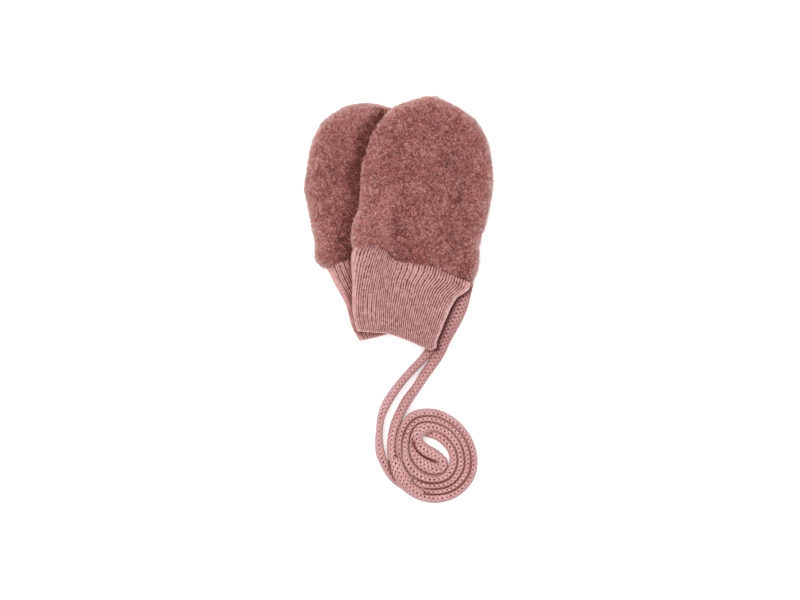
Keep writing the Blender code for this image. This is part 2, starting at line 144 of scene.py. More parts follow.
# The coil about its centre. Columns are the angle in degrees, turning from -X through -Y, then the
# radius, the strand's width and height, and the height of its underside.
COIL_CENTRE = (21.3, -138.3)
FRONT_COIL: Points = (
    (20.0, 24.0, 8.2, 3.5, 2.4), (32.0, 24.3, 8.5, 3.4, 3.0), (45.0, 24.9, 8.4, 3.4, 3.0),
    (60.0, 26.1, 7.0, 4.0, 2.2), (75.0, 27.2, 5.8, 5.0, 0.9), (90.0, 27.9, 5.0, 6.0, 0.1),
    (120.0, 27.9, 4.4, 6.4, 0.0), (150.0, 26.5, 4.0, 6.4, 0.0), (180.0, 23.5, 3.9, 6.4, 0.0),
    (210.0, 21.8, 3.9, 6.4, 0.0), (240.0, 21.9, 4.0, 6.4, 0.0), (270.0, 23.7, 4.2, 6.4, 0.0),
    (300.0, 25.2, 4.3, 6.4, 0.0), (330.0, 22.9, 4.1, 6.0, 0.0), (350.0, 21.4, 3.9, 5.6, 0.0),
    (360.0, 21.0, 3.9, 5.0, 0.0), (370.0, 20.8, 3.9, 3.8, 0.0), (385.0, 20.8, 3.9, 3.0, 0.0),
    (405.0, 20.8, 3.9, 3.4, 0.0), (425.0, 20.6, 3.8, 5.2, 0.0), (450.0, 20.4, 3.8, 6.2, 0.0),
    (480.0, 20.3, 4.0, 6.4, 0.0), (510.0, 18.4, 4.3, 6.4, 0.0), (540.0, 15.8, 4.4, 6.3, 0.0),
    (570.0, 14.3, 4.7, 6.1, 0.0), (600.0, 14.3, 4.9, 6.0, 0.0), (630.0, 15.3, 5.3, 5.4, 0.6),
    (645.0, 15.8, 6.4, 4.4, 1.9), (660.0, 15.7, 7.6, 3.7, 2.7),
)
REAR_COIL: Points = (
    (20.6, 29.87, 4.8, 3.4, 0.0), (32.0, 29.0, 4.6, 2.9, 0.0), (45.0, 27.6, 4.4, 2.9, 0.0),
    (60.0, 25.8, 3.8, 3.4, 0.0), (75.0, 24.3, 3.4, 4.8, 0.0), (90.0, 23.8, 3.4, 6.0, 0.0),
    (120.0, 24.0, 3.7, 6.3, 0.0), (150.0, 22.8, 4.2, 6.3, 0.0), (180.0, 19.95, 4.2, 6.3, 0.0),
    (210.0, 18.4, 3.8, 6.3, 0.0), (240.0, 18.4, 3.6, 6.3, 0.0), (270.0, 19.8, 3.9, 6.3, 0.0),
    (300.0, 21.5, 3.7, 6.3, 0.0), (330.0, 19.2, 4.0, 6.3, 0.0), (360.0, 17.2, 3.9, 6.3, 0.0),
    (390.0, 16.7, 5.3, 6.1, 0.0), (420.0, 16.45, 5.4, 6.1, 0.0), (450.0, 16.35, 5.2, 6.2, 0.0),
    (480.0, 16.0, 4.8, 6.2, 0.0), (510.0, 13.8, 4.4, 6.2, 0.0), (540.0, 11.35, 4.6, 6.0, 0.0),
    (570.0, 9.65, 4.7, 5.8, 0.0), (600.0, 9.5, 4.8, 5.4, 0.0), (630.0, 10.75, 4.7, 4.4, 0.0),
    (645.0, 12.05, 4.9, 3.2, 0.0),
)

# Deep creases of the cord, drawn as lines of painted shade: between the doubled end's halves, and where
# the rear strand goes under the front one. Columns are x and y.
FOLD_CREASE: Points = ((8.3, -130.0), (11.0, -137.0), (14.3, -140.3), (23.5, -144.1))
STRAND_CREASE: Points = ((-5.9, -143.6), (-5.3, -147.5), (-4.2, -151.2), (-2.2, -155.4))

# The doubled end inside the coil, from the front strand's last turn round its fold to the rear strand's.
# Columns are x, y, width, height and the height of the underside.
COIL_FOLD: Points = (
    (11.0, -127.6, 7.8, 3.6, 2.8), (10.9, -131.0, 7.3, 4.2, 2.0), (12.6, -134.1, 6.5, 5.0, 0.8),
    (14.8, -136.2, 6.8, 5.4, 0.3), (17.4, -137.9, 7.0, 5.6, 0.1), (20.3, -139.4, 6.9, 5.6, 0.0),
    (22.7, -141.0, 6.7, 5.6, 0.0), (24.9, -142.6, 5.9, 5.6, 0.0), (26.5, -144.0, 5.3, 5.6, 0.0),
    (27.1, -146.1, 5.0, 5.4, 0.0), (26.3, -148.0, 5.3, 5.2, 0.0), (24.4, -148.9, 6.6, 5.0, 0.0),
    (22.0, -148.7, 8.0, 4.8, 0.0), (17.8, -146.9, 8.9, 4.8, 0.0), (12.8, -143.7, 7.7, 4.8, 0.0),
    (10.2, -140.9, 6.1, 4.8, 0.0), (8.5, -137.5, 5.0, 4.6, 0.0), (7.9, -133.8, 4.5, 4.0, 0.0),
    (8.6, -130.4, 4.8, 3.2, 0.0), (10.6, -127.2, 4.6, 2.7, 0.0), (14.2, -125.8, 4.6, 2.7, 0.0),
)


def linear(red: float, green: float, blue: float) -> Colour:
    """Linear colour of a screen colour, each channel by the standard screen curve.

    Args:
        red: Red from 0 to 255.
        green: Green from 0 to 255.
        blue: Blue from 0 to 255.

    Returns:
        The colour's three linear channels.
    """
    channels = (value / 255.0 for value in (red, green, blue))
    return tuple(c / 12.92 if c <= 0.04045 else ((c + 0.055) / 1.055) ** 2.4 for c in channels)


def smoothstep(amount: Array) -> Array:
    """0 below 0, 1 above 1 and 3a^2 - 2a^3 between."""
    amount = np.clip(amount, 0.0, 1.0)
    return amount * amount * (3.0 - 2.0 * amount)


def rising(value: Array, start: Array | float, over: float) -> Array:
    """0 up to the start, 1 from a length over past it on, and a smooth step between."""
    return smoothstep((value - start) / over)


def falling(value: Array, end: Array | float, over: float) -> Array:
    """1 until a length over before the end, 0 from the end on, and a smooth step between."""
    return smoothstep((end - value) / over)


def rounded(amount: Array) -> Array:
    """Height of a quarter circle, 0 at its edge and 1 from one radius in."""
    return np.sqrt(1.0 - (1.0 - np.clip(amount, 0.0, 1.0)) ** 2)


def hermite(knots: Array, run: Array, wanted: Array) -> Array:
    """Cubic Hermite curve through rows of values, its slopes being central differences.

    Args:
        knots: One row of values for each given point.
        run: Where each row stands along the curve.
        wanted: Where along the curve to work the values out.

    Returns:
        One row of values for each wanted place.
    """
    slopes = np.gradient(knots, run, axis=0)
    span = np.clip(np.searchsorted(run, wanted, "right") - 1, 0, len(run) - 2)
    width = (run[span + 1] - run[span])[:, None]
    t = (wanted - run[span])[:, None] / width
    curve = knots[span] * (1.0 + 2.0 * t) * (1.0 - t) ** 2 + knots[span + 1] * t * t * (3.0 - 2.0 * t)
    return curve + slopes[span] * width * t * (1.0 - t) ** 2 + slopes[span + 1] * width * t * t * (t - 1.0)


def running_length(points: Array) -> Array:
    """Length of the line up to each of its points."""
    return np.concatenate([[0.0], np.cumsum(np.linalg.norm(np.diff(points, axis=0), axis=1))])


def smooth_curve(points: Points | Array, fractions: Array) -> Array:
    """Points at fractions of the length of a smooth curve through the given ones.

    Args:
        points: The given points in plan.
        fractions: Places from 0 to 1 along the curve.

    Returns:
        One plan point for each fraction.
    """
    knots = np.asarray(points, dtype=float)
    chord = running_length(knots)
    curve = hermite(knots, chord, np.linspace(0.0, chord[-1], MEASURED_POINTS))
    run = running_length(curve)
    wanted = np.asarray(fractions) * run[-1]
    return np.stack([np.interp(wanted, run, column) for column in curve.T], axis=1)


def traced(line: Points, count: int = LINE_POINTS) -> Array:
    """Points at even steps along the smooth curve through a line's points."""
    return smooth_curve(line, np.linspace(0.0, 1.0, count))


def in_plan(x: Array, y: Array) -> Array:
    """Plan points of matching x and y."""
    return np.stack([x, y], axis=-1)


def unit(vectors: Array) -> Array:
    """The vectors, each at a length of 1."""
    return vectors / np.maximum(np.linalg.norm(vectors, axis=-1, keepdims=True), 1e-12)


def spaced(count: int, close_places: Points = CLOSE_ENDS, fine: int = 1200) -> Array:
    """Fractions from 0 to 1, closer together where bell-shaped densities are added.

    Args:
        count: Number of steps.
        close_places: Place, width and strength of each bell.
        fine: Number of places where the density is worked out.

    Returns:
        count + 1 rising fractions.
    """
    line = np.linspace(0.0, 1.0, fine)
    density = np.ones_like(line)
    for place, width, strength in close_places:
        density += strength * np.exp(-(((line - place) / width) ** 2))
    run = np.concatenate([[0.0], np.cumsum((density[1:] + density[:-1]) / 2.0)])
    return np.interp(np.linspace(0.0, run[-1], count + 1), run, line)


def patch(edges: tuple[Points, ...], u: Array, v: Array) -> Array:
    """Plan points of an area between four edges, by Coons' rule: both blends less the corners' blend.

    Args:
        edges: The low, high, left and right edge.
        u: Place across, from 0 to 1.
        v: Place up, from 0 to 1.

    Returns:
        A plan point for each u and v.
    """
    low, high, left, right = edges
    on_low, on_high = (smooth_curve(line, u.ravel()).reshape(*u.shape, 2) for line in (low, high))
    on_left, on_right = (smooth_curve(line, v.ravel()).reshape(*v.shape, 2) for line in (left, right))
    u, v = u[..., None], v[..., None]
    corners = (1 - v) * ((1 - u) * np.asarray(low[0]) + u * np.asarray(low[-1]))
    corners += v * ((1 - u) * np.asarray(high[0]) + u * np.asarray(high[-1]))
    return (1 - v) * on_low + v * on_high + (1 - u) * on_left + u * on_right - corners


def distance_to(grid: Array, line: Array) -> Array:
    """Distance in plan to a line: the least over its straight pieces.

    Args:
        grid: Plan points.
        line: The line's points.

    Returns:
        Each plan point's distance.
    """
    nearest = np.full(grid.shape[:-1], np.inf)
    for start, end in zip(line[:-1], line[1:]):
        step = end - start
        offset = grid - start
        share = np.clip((offset * step).sum(-1) / max((step * step).sum(), 1e-12), 0.0, 1.0)
        nearest = np.minimum(nearest, np.linalg.norm(offset - share[..., None] * step, axis=-1))
    return nearest


def near_line(x: Array, y: Array, line: Points, width: float) -> Array:
    """1 on a smooth line, falling to 0 at a width from it."""
    return smoothstep(1.0 - distance_to(in_plan(x, y), traced(line)) / width)


def x_at(line: Points, y: Array) -> Array:
    """x of a smooth line through points whose y rises, at each y."""
    curve = traced(line, READ_POINTS)
    return np.interp(y, curve[:, 1], curve[:, 0])


def above_line(ends: Points, x: Array, y: Array) -> Array:
    """Distance in y of each point above the straight line between two ends."""
    (left_x, left_y), (right_x, right_y) = ends
    return y - left_y - (x - left_x) * (right_y - left_y) / (right_x - left_x)


def lumps(x: Array, y: Array, size: float, seed: int) -> Array:
    """Soft random field from -1 to 1: random values on a square lattice, blended by smoothstep.

    Args:
        x: First plan coordinate.
        y: Second plan coordinate.
        size: Distance between the lattice's values, in the coordinates' unit.
        seed: Number that fixes the random values.

    Returns:
        The field at each point.
    """
    table = np.random.default_rng(seed).uniform(-1.0, 1.0, (LATTICE, LATTICE))
    across, up = x / size + LATTICE_SHIFT, y / size + LATTICE_SHIFT
    column, row = np.floor(across).astype(int), np.floor(up).astype(int)
    a, b = smoothstep(across - column), smoothstep(up - row)
    column, row = column % LATTICE, row % LATTICE
    beside, above = (column + 1) % LATTICE, (row + 1) % LATTICE
    low = table[row, column] * (1.0 - a) + table[row, beside] * a
    high = table[above, column] * (1.0 - a) + table[above, beside] * a
    return low * (1.0 - b) + high * b


def mixed_lumps(x: Array, y: Array, table: Points) -> Array:
    """Sum of lumps, each row of the table giving a strength, a size and a seed."""
    return sum(strength * lumps(x, y, size, seed) for strength, size, seed in table)


def soft_creases(x: Array, y: Array, table: Points) -> Array:
    """Sum of soft troughs and ridges, each a bell across the line between two points.

    Args:
        x: Plan x of each point.
        y: Plan y of each point.
        table: Columns are both ends' x and y, the bell's width and its height, below 0 for a trough.

    Returns:
        Height to add at each point.
    """
    height = np.zeros_like(x)
    for x0, y0, x1, y1, width, rise in table:
        line = np.array([(x0, y0), (x1, y1)])
        height += rise * np.exp(-((distance_to(in_plan(x, y), line) / width) ** 2))
    return height


def grid_normals(points: Array) -> Array:
    """Unit normals of a grid, from the cross product of its differences along both directions."""
    return unit(np.cross(np.gradient(points, axis=1), np.gradient(points, axis=0)))


def cell_corners(grid: Array) -> Array:
    """The rows at the four corners of each of a grid's cells, in order round the cell."""
    return np.stack([grid[:-1, :-1], grid[:-1, 1:], grid[1:, 1:], grid[1:, :-1]], axis=2)


def grid_quads(rows: int, columns: int, closed: bool, first: int = 0) -> Array:
    """Corner numbers of a grid's quads, row by row.

    Args:
        rows: Number of rows of points.
        columns: Number of points in a row.
        closed: Whether the last column joins the first.
        first: Number of the grid's first point.

    Returns:
        One row of four numbers for each quad.
    """
    across = columns if closed else columns - 1
    row, column = np.meshgrid(np.arange(rows - 1), np.arange(across), indexing="ij")
    beside = (column + 1) % columns
    low, high = first + row * columns, first + (row + 1) * columns
    return np.stack([low + column, low + beside, high + beside, high + column], axis=-1).reshape(-1, 4)


def rim_quads(outer: Array, inner: Array) -> Array:
    """Quads between two matching closed loops of point numbers."""
    return np.stack([outer, inner, np.roll(inner, -1), np.roll(outer, -1)], axis=1)


def placed(name: str, data: bpy.types.ID) -> bpy.types.Object:
    """Put data into the scene.

    Args:
        name: Name of the object.
        data: A mesh, a light or a camera.

    Returns:
        The new object.
    """
    item = bpy.data.objects.new(name, data)
    bpy.context.scene.collection.objects.link(item)
    return item


def piece(
    name: str,
    points: Array,
    faces: Array,
    finish: Finish,
    uv: Array | None = None,
    round_trip: float = 0.0,
) -> bpy.types.Object:
    """A mesh object at the origin from millimetre points.

    Args:
        name: Name of the piece.
        points: One row of x, y and z for each point.
        faces: Corner numbers, one row for each face, all with the same number of corners.
        finish: The piece's material.
        uv: Map coordinates of each point, or None for none.
        round_trip: How far the map's first coordinate runs once round a tube, or 0 for an open map.

    Returns:
        The new object, linked to the scene.
    """
    mesh = bpy.data.meshes.new(name)
    corners = faces.shape[1]
    mesh.vertices.add(len(points))
    mesh.vertices.foreach_set("co", (points * MM).astype(np.float32).ravel())
    mesh.loops.add(faces.size)
    mesh.loops.foreach_set("vertex_index", faces.astype(np.int32).ravel())
    mesh.polygons.add(len(faces))
    mesh.polygons.foreach_set("loop_start", np.arange(0, faces.size, corners, dtype=np.int32))
    mesh.update(calc_edges=True)
    if uv is not None:
        layer = mesh.uv_layers.new(name="cloth")
        corner_uv = uv[faces]
        across = corner_uv[..., 0]
        across += round_trip * (across < across.max(axis=1, keepdims=True) - round_trip / 2.0)
        layer.uv.foreach_set("vector", corner_uv.astype(np.float32).ravel())
    mesh.shade_smooth()
    mesh.materials.append(finish)
    item = placed(name, mesh)
    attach(item, BODY)
    LOG.info("%s: %d faces", name, len(faces))
    return item


def paint(item: bpy.types.Object, name: str, values: Array) -> None:
    """Give each point of a piece a number that its finish reads by name."""
    layer = item.data.attributes.new(name, "FLOAT", "POINT")
    layer.data.foreach_set("value", values.astype(np.float32).ravel())


class Value:
    """A shader socket that takes part in sums, each operator adding a Math node."""

    def __init__(self, bench: "NodeBench", socket: bpy.types.NodeSocket) -> None:
        """Wrap a socket of the bench's material."""
        self.bench = bench
        self.socket = socket

    def __add__(self, other: "Value | float") -> "Value":
        """This plus other."""
        return self.bench.math("ADD", self, other)

    def __sub__(self, other: "Value | float") -> "Value":
        """This less other."""
        return self.bench.math("SUBTRACT", self, other)

    def __rsub__(self, other: float) -> "Value":
        """Other less this."""
        return self.bench.math("SUBTRACT", other, self)

    def __mul__(self, other: "Value | float") -> "Value":
        """This times other."""
        return self.bench.math("MULTIPLY", self, other)

    def __truediv__(self, other: "Value | float") -> "Value":
        """This over other."""
        return self.bench.math("DIVIDE", self, other)

    def __pow__(self, other: float) -> "Value":
        """This to the power of other."""
        return self.bench.math("POWER", self, other)

    def __abs__(self) -> "Value":
        """Size of this without its sign."""
        return self.bench.math("ABSOLUTE", self)

    def whole(self) -> "Value":
        """Whole number at or below this."""
        return self.bench.math("FLOOR", self)

    def fraction(self) -> "Value":
        """Part after the whole number."""
        return self.bench.math("FRACT", self)

    def clamped(self) -> "Value":
        """This held between 0 and 1."""
        return self.bench.node("ShaderNodeClamp", {}, {"Value": self})["Result"]

    __radd__ = __add__
    __rmul__ = __mul__


class NodeBench:
    """One material being made: its nodes, its shader and the ways to add more."""

    def __init__(self, name: str) -> None:
        """Start a material that holds a Principled shader and its output.

        Args:
            name: Name of the material.
        """
        self.material = bpy.data.materials.new(name)
        self.material.use_nodes = True
        self.tree = self.material.node_tree
        self.shader = self.tree.nodes["Principled BSDF"]

    def node(self, kind: str, settings: dict[str, Any], sockets: dict[str, Any]) -> dict[str, Value]:
        """Add a node.

        Args:
            kind: The node's type.
            settings: Its settings, set first. "stops" holds a ramp's places and colours.
            sockets: A value or a link for each named or numbered input.

        Returns:
            Its outputs by name.
        """
        made = self.tree.nodes.new(kind)
        for key, setting in settings.items():
            if key == "stops":
                self.set_stops(made.color_ramp, setting)
            else:
                setattr(made, key, setting)
        for key, value in sockets.items():
            self.feed(made.inputs[key], value)
        return {output.name: Value(self, output) for output in made.outputs if output.enabled}

    def set_stops(self, ramp: bpy.types.ColorRamp, stops: tuple) -> None:
        """Give a ramp its stops.

        Args:
            ramp: The ramp.
            stops: The place and linear colour of each stop, at least two.
        """
        while len(ramp.elements) < len(stops):
            ramp.elements.new(0.5)
        for element, (place, colour) in zip(ramp.elements, stops):
            element.position = place
            element.color = (*colour, 1.0)

    def feed(self, socket: bpy.types.NodeSocket, value: Any) -> None:
        """Link a value to a socket, or set the socket's own number or colour.

        Args:
            socket: The input to feed.
            value: A value, a number, a vector or a linear colour.
        """
        if isinstance(value, Value):
            self.tree.links.new(value.socket, socket)
        elif isinstance(value, tuple) and len(value) == 3 and len(socket.default_value) == 4:
            socket.default_value = (*value, 1.0)
        else:
            socket.default_value = value

    def math(self, operation: str, *values: "Value | float") -> Value:
        """A Math node's result for the operation and its values."""
        return self.node("ShaderNodeMath", {"operation": operation}, dict(enumerate(values)))["Value"]

    def place(self) -> Value:
        """The piece's own coordinates, in metres."""
        return self.node("ShaderNodeTexCoord", {}, {})["Object"]

    def cloth_map(self) -> tuple[Value, Value]:
        """The piece's map.

        Returns:
            Both of its coordinates.
        """
        found = self.node("ShaderNodeUVMap", {"uv_map": "cloth"}, {})["UV"]
        parts = self.node("ShaderNodeSeparateXYZ", {}, {"Vector": found})
        return parts["X"], parts["Y"]

    def noise(self, size: float, detail: float, roughness: float = 0.5) -> Value:
        """Smooth noise over the piece whose grains are about the given size.

        Args:
            size: Grain size in millimetres.
            detail: Number of finer layers.
            roughness: Strength of each finer layer beside the one before.

        Returns:
            The noise, from 0 to 1.
        """
        sockets = {"Vector": self.place(), "Scale": 1.0 / (size * MM)}
        sockets |= {"Detail": detail, "Roughness": roughness}
        return self.node("ShaderNodeTexNoise", {}, sockets)["Fac"]

    def painted(self, name: str) -> Value:
        """Number that was painted on the piece under the name."""
        return self.node("ShaderNodeAttribute", {"attribute_name": name}, {})["Fac"]

    def scatter(self, first: Value, second: Value) -> Value:
        """Random number from 0 to 1 for each pair of whole steps of two values."""
        cell = self.node("ShaderNodeCombineXYZ", {}, {"X": first.whole(), "Y": second.whole()})["Vector"]
        return self.node("ShaderNodeTexWhiteNoise", {"noise_dimensions": "2D"}, {"Vector": cell})["Value"]

    def ramp(self, factor: Value, stops: tuple) -> Value:
        """Colour of a ramp at the factor."""
        return self.node("ShaderNodeValToRGB", {"stops": stops}, {"Fac": factor})["Color"]

    def between(self, factor: "Value | float", low: Any, high: Any) -> Value:
        """Colour between two colours. A Mix node's colour inputs are numbered 6 and 7 and its output 2.

        Args:
            factor: 0 for the low colour, 1 for the high one.
            low: A colour or a value.
            high: A colour or a value.

        Returns:
            The mixed colour.
        """
        made = self.tree.nodes.new("ShaderNodeMix")
        made.data_type = "RGBA"
        for place, value in ((0, factor), (6, low), (7, high)):
            self.feed(made.inputs[place], value)
        return Value(self, made.outputs[2])

    def bump(self, height: Value, distance: float, strength: float, under: Value | None = None) -> Value:
        """Normal of a relief.

        Args:
            height: The relief, from 0 to 1.
            distance: Depth of the relief in millimetres.
            strength: Share of the relief that shows.
            under: Normal of a relief below it, or None.

        Returns:
            The normal.
        """
        sockets = {"Height": height, "Distance": distance * MM, "Strength": strength}
        if under is not None:
            sockets["Normal"] = under
        return self.node("ShaderNodeBump", {}, sockets)["Normal"]

    def dress(self, colour: Value, roughness: float, normal: Value | None, sheen: float) -> Finish:
        """Join colour, roughness and normal to the shader.

        Args:
            colour: Base colour.
            roughness: Roughness.
            normal: Normal, or None for the mesh's own.
            sheen: Strength of the cloth's soft sheen.

        Returns:
            The finished material.
        """
        self.feed(self.shader.inputs["Base Color"], colour)
        self.feed(self.shader.inputs["Roughness"], roughness)
        if normal is not None:
            self.feed(self.shader.inputs["Normal"], normal)
        self.shader.inputs["Sheen Weight"].default_value = sheen
        self.shader.inputs["Sheen Roughness"].default_value = SHEEN_ROUGHNESS
        self.shader.inputs["Specular IOR Level"].default_value = CLOTH_GLOSS
        return self.material


@dataclass(frozen=True)
class FleeceBase:
    """The felted ground of the fleece, under its nap."""

    deep: Colour = linear(92, 44, 38)
    middle: Colour = linear(140, 78, 70)
    light: Colour = linear(178, 108, 99)
    # Colour of the painted pale highlight along the outline.
    edge: Colour = linear(208, 174, 171)
    clump: float = 2.6
    grain: float = 0.7
    clump_share: float = 0.55
    shade_share: float = 0.5
    relief: float = 0.9
    roughness: float = 0.95
    sheen: float = 0.15

    def make(self) -> Finish:
        """Clumps and fine grains mixed into four shades, moved by the painted light and shade, with a matted
        relief.

        Returns:
            The finish.
        """
        bench = NodeBench("fleece_base")
        clumps = bench.noise(self.clump, 3.0, FINE_GRAIN)
        grains = bench.noise(self.grain, 2.0, FINE_GRAIN)
        tone = clumps * self.clump_share + grains * (1.0 - self.clump_share)
        tone = tone + bench.painted("shade") * self.shade_share
        stops = ((0.34, self.deep), (0.5, self.middle), (0.66, self.light), (0.85, self.edge))
        normal = bench.bump(clumps * 0.5 + grains * 0.5, self.relief, 0.8)
        return bench.dress(bench.ramp(tone, stops), self.roughness, normal, self.sheen)


@dataclass(frozen=True)
class FleeceNap:
    """The brushed fibres: painted shade in the depth of the nap, and paler at the tips."""

    deep: Colour = linear(104, 50, 43)
    dark: Colour = linear(152, 84, 76)
    middle: Colour = linear(193, 117, 108)
    light: Colour = linear(222, 151, 142)
    pale: Colour = linear(230, 186, 180)
    # Colour of the painted pale highlight along the fleece's outline.
    highlight_lilac: Colour = linear(233, 207, 204)
    root_share: float = 0.6
    brightening: float = 1.6
    roughness: float = 0.9
    sheen: float = 0.1

    def make(self) -> Finish:
        """A fibre's shade is its map's first coordinate and its place from root to tip the second.

        Returns:
            The finish.
        """
        bench = NodeBench("fleece_nap")
        shade, along = bench.cloth_map()
        stops = ((0.05, self.deep), (0.28, self.dark), (0.5, self.middle))
        stops += ((0.72, self.light), (0.9, self.pale), (1.0, self.highlight_lilac))
        fibre = bench.ramp(shade, stops)
        # Painted shade towards each fibre's root, in the depth of the nap.
        darkened = {0: fibre, "Scale": self.root_share}
        root = bench.node("ShaderNodeVectorMath", {"operation": "SCALE"}, darkened)
        colour = bench.between((along * self.brightening).clamped(), root["Vector"], fibre)
        return bench.dress(colour, self.roughness, None, self.sheen)


@dataclass(frozen=True)
class RibKnit:
    """Fine rib knit: pale wales, furrows darkened by a painted shade, and small V stitches."""

    # Colour of the painted shade in the furrows.
    furrow: Colour = linear(104, 48, 46)
    wale: Colour = linear(176, 124, 122)
    crest: Colour = linear(212, 164, 161)
    tip: Colour = linear(234, 192, 188)
    blotch: float = 7.0
    fuzz: float = 0.35
    slant: float = 0.45
    bead_sharpness: float = 1.6
    plain_tone: float = 0.24
    stitch_share: float = 0.24
    bead_share: float = 0.2
    blotch_share: float = 0.18
    fuzz_share: float = 0.2
    furrow_shade: float = 0.45
    gap_share: float = 0.8
    gap_length: float = 1.25
    relief: float = 0.35
    fuzz_relief: float = 0.12
    roughness: float = 0.9
    sheen: float = 0.12

    def make(self) -> Finish:
        """Map: wales, then stitches. Painted numbers give the painted shade in the furrows between wales
        and the cuff's painted light and shade.

        Returns:
            The finish.
        """
        bench = NodeBench("rib_knit")
        wales, stitches = bench.cloth_map()
        furrow = bench.painted("furrow")
        across = abs(wales.fraction() - 0.5) * 2.0
        slanted = stitches + across * self.slant
        bead = 1.0 - (abs(slanted.fraction() - 0.5) * 2.0) ** self.bead_sharpness
        of_stitch = bench.scatter(wales, slanted)
        of_gap = bench.scatter(wales + 0.5, stitches * (1.0 / self.gap_length))
        blotches = bench.noise(self.blotch, 2.0)
        fuzz = bench.noise(self.fuzz, 2.0, FINE_GRAIN)
        tone = self.plain_tone + of_stitch * self.stitch_share + bead * self.bead_share
        tone = tone + blotches * self.blotch_share + fuzz * self.fuzz_share
        # Painted shade in the furrows, uneven from gap to gap, and the cuff's painted light and shade.
        tone = tone - furrow * (of_gap * self.gap_share + self.furrow_shade) + bench.painted("shade")
        stops = ((0.0, self.furrow), (0.42, self.wale), (0.78, self.crest), (1.0, self.tip))
        colour = bench.ramp(tone.clamped(), stops)
        relief = bench.bump(bead * 0.5 - furrow * 0.5, self.relief, 0.7)
        normal = bench.bump(fuzz, self.fuzz_relief, 0.5, relief)
        return bench.dress(colour, self.roughness, normal, self.sheen)


@dataclass(frozen=True)
class CordKnit:
    """Machine-knit tube: V stitches in columns with a row of small holes between columns."""

    hole: Colour = linear(72, 28, 28)
    valley: Colour = linear(142, 90, 87)
    yarn: Colour = linear(180, 129, 126)
    crest: Colour = linear(201, 155, 152)
    tip: Colour = linear(220, 182, 179)
    shadowed: Colour = linear(100, 35, 35)
    # Colour of the painted pale highlight on the cord's open sides.
    highlight_lilac: Colour = linear(192, 161, 168)
    rosy: Colour = (1.0, 0.86, 0.89)
    shear: float = 0.5
    hole_length: float = 0.24
    hole_width: float = 0.58
    hole_shade: float = 0.68
    faint_row: float = 0.8
    spread_gain: float = 0.35
    blotch: float = 9.0
    fuzz: float = 0.7
    plain_tone: float = 0.18
    yarn_share: float = 0.34
    stitch_share: float = 0.14
    fuzz_share: float = 0.28
    blotch_share: float = 0.2
    shade_share: float = 0.5
    yarn_sharpness: float = 1.6
    tint_size: float = 4.0
    relief: float = 0.3
    fuzz_relief: float = 0.12
    roughness: float = 0.9
    sheen: float = 0.12

    def make(self) -> Finish:
        """Map: first coordinate counts stitch columns, second counts stitches.

        Two slanted legs make each V. A hole lies where the legs of two columns part, on the line between
        them. Every second row of holes is fainter, except where the cord is pressed wide. Painted numbers
        lay a painted shade of darker red and a painted pale lilac highlight on open sides.

        Returns:
            The finish.
        """
        bench = NodeBench("cord_knit")
        columns, stitches = bench.cloth_map()
        away = abs((columns + 0.5).fraction() - 0.5) * 2.0
        leg = stitches + columns * self.shear - away * 0.5
        parting = abs((leg + 0.5).fraction() - 0.5)
        yarn = 1.0 - (1.0 - parting * 2.0) ** self.yarn_sharpness
        of_hole = bench.scatter(columns + 0.5, leg + 0.5)
        hole = 1.0 - (parting / self.hole_length) ** 2.0 - (away / self.hole_width) ** 2.0
        hole = hole.clamped() * (of_hole * 0.9 + 0.5)
        spread = bench.painted("spread")
        second_row = ((columns + 0.5).whole() * 0.5).fraction()
        hole = hole * (1.0 - second_row * self.faint_row * (1.0 - spread))
        hole = hole * (1.0 + spread * self.spread_gain)
        fuzz = bench.noise(self.fuzz, 2.0, FINE_GRAIN)
        blotches = bench.noise(self.blotch, 2.0)
        of_stitch = bench.scatter(columns * 2.0, leg)
        shade = bench.painted("shade")
        tone = self.plain_tone + yarn * self.yarn_share + of_stitch * self.stitch_share
        tone = tone + fuzz * self.fuzz_share + blotches * self.blotch_share
        tone = tone - hole * self.hole_shade + shade * self.shade_share
        stops = ((0.0, self.hole), (0.22, self.valley), (0.48, self.yarn))
        stops += ((0.76, self.crest), (1.0, self.tip))
        colour = bench.ramp(tone.clamped(), stops)
        rosiness = (bench.noise(self.tint_size, 2.0) * 3.0 - 1.2).clamped()
        tint = bench.between(rosiness, WHITE, self.rosy)
        colour = bench.node("ShaderNodeVectorMath", {"operation": "MULTIPLY"}, {0: colour, 1: tint})["Vector"]
        # Painted pale highlight on the open sides, then the painted shadow colour where the painted shade is
        # strong.
        colour = bench.between(bench.painted("rim"), colour, self.highlight_lilac)
        colour = bench.between((shade * -1.5).clamped(), colour, self.shadowed)
        relief = bench.bump(yarn * 0.6 - hole, self.relief, 0.7)
        normal = bench.bump(fuzz, self.fuzz_relief, 0.5, relief)
        return bench.dress(colour, self.roughness, normal, self.sheen)


@dataclass(frozen=True)
class PaleFloor:
    """A plain pale matt surface."""

    colour: Colour = (0.94, 0.94, 0.94)
    mottled: Colour = (0.9, 0.9, 0.9)
    mottle: float = 60.0
    glow: float = 0.35
    roughness: float = 0.85

    def make(self) -> Finish:
        """Almost one tone, with a trace of mottling.

        Returns:
            The finish.
        """
        bench = NodeBench("pale_floor")
        colour = bench.between(bench.noise(self.mottle, 2.0) * 0.1, self.colour, self.mottled)
        bench.feed(bench.shader.inputs["Emission Color"], WHITE)
        bench.feed(bench.shader.inputs["Emission Strength"], self.glow)
        return bench.dress(colour, self.roughness, None, 0.0)


class Face(Enum):
    """Which of a hand's two panels: the back faces up and the palm faces the surface."""

    BACK = "back"
    PALM = "palm"

    @property
    def side(self) -> float:
        """1 for the panel that faces up and -1 for the one that faces down."""
        return 1.0 if self is Face.BACK else -1.0


# Strength, size and seed of the felt's lumps and of the lumps in the fibres' shade.
FELT_LUMPS: Points = ((0.6, 7.0, 3), (0.4, 3.2, 4))
SHADE_LUMPS: Points = ((0.06, 7.0, 21), (0.07, 2.6, 22), (0.3, 0.75, 23))


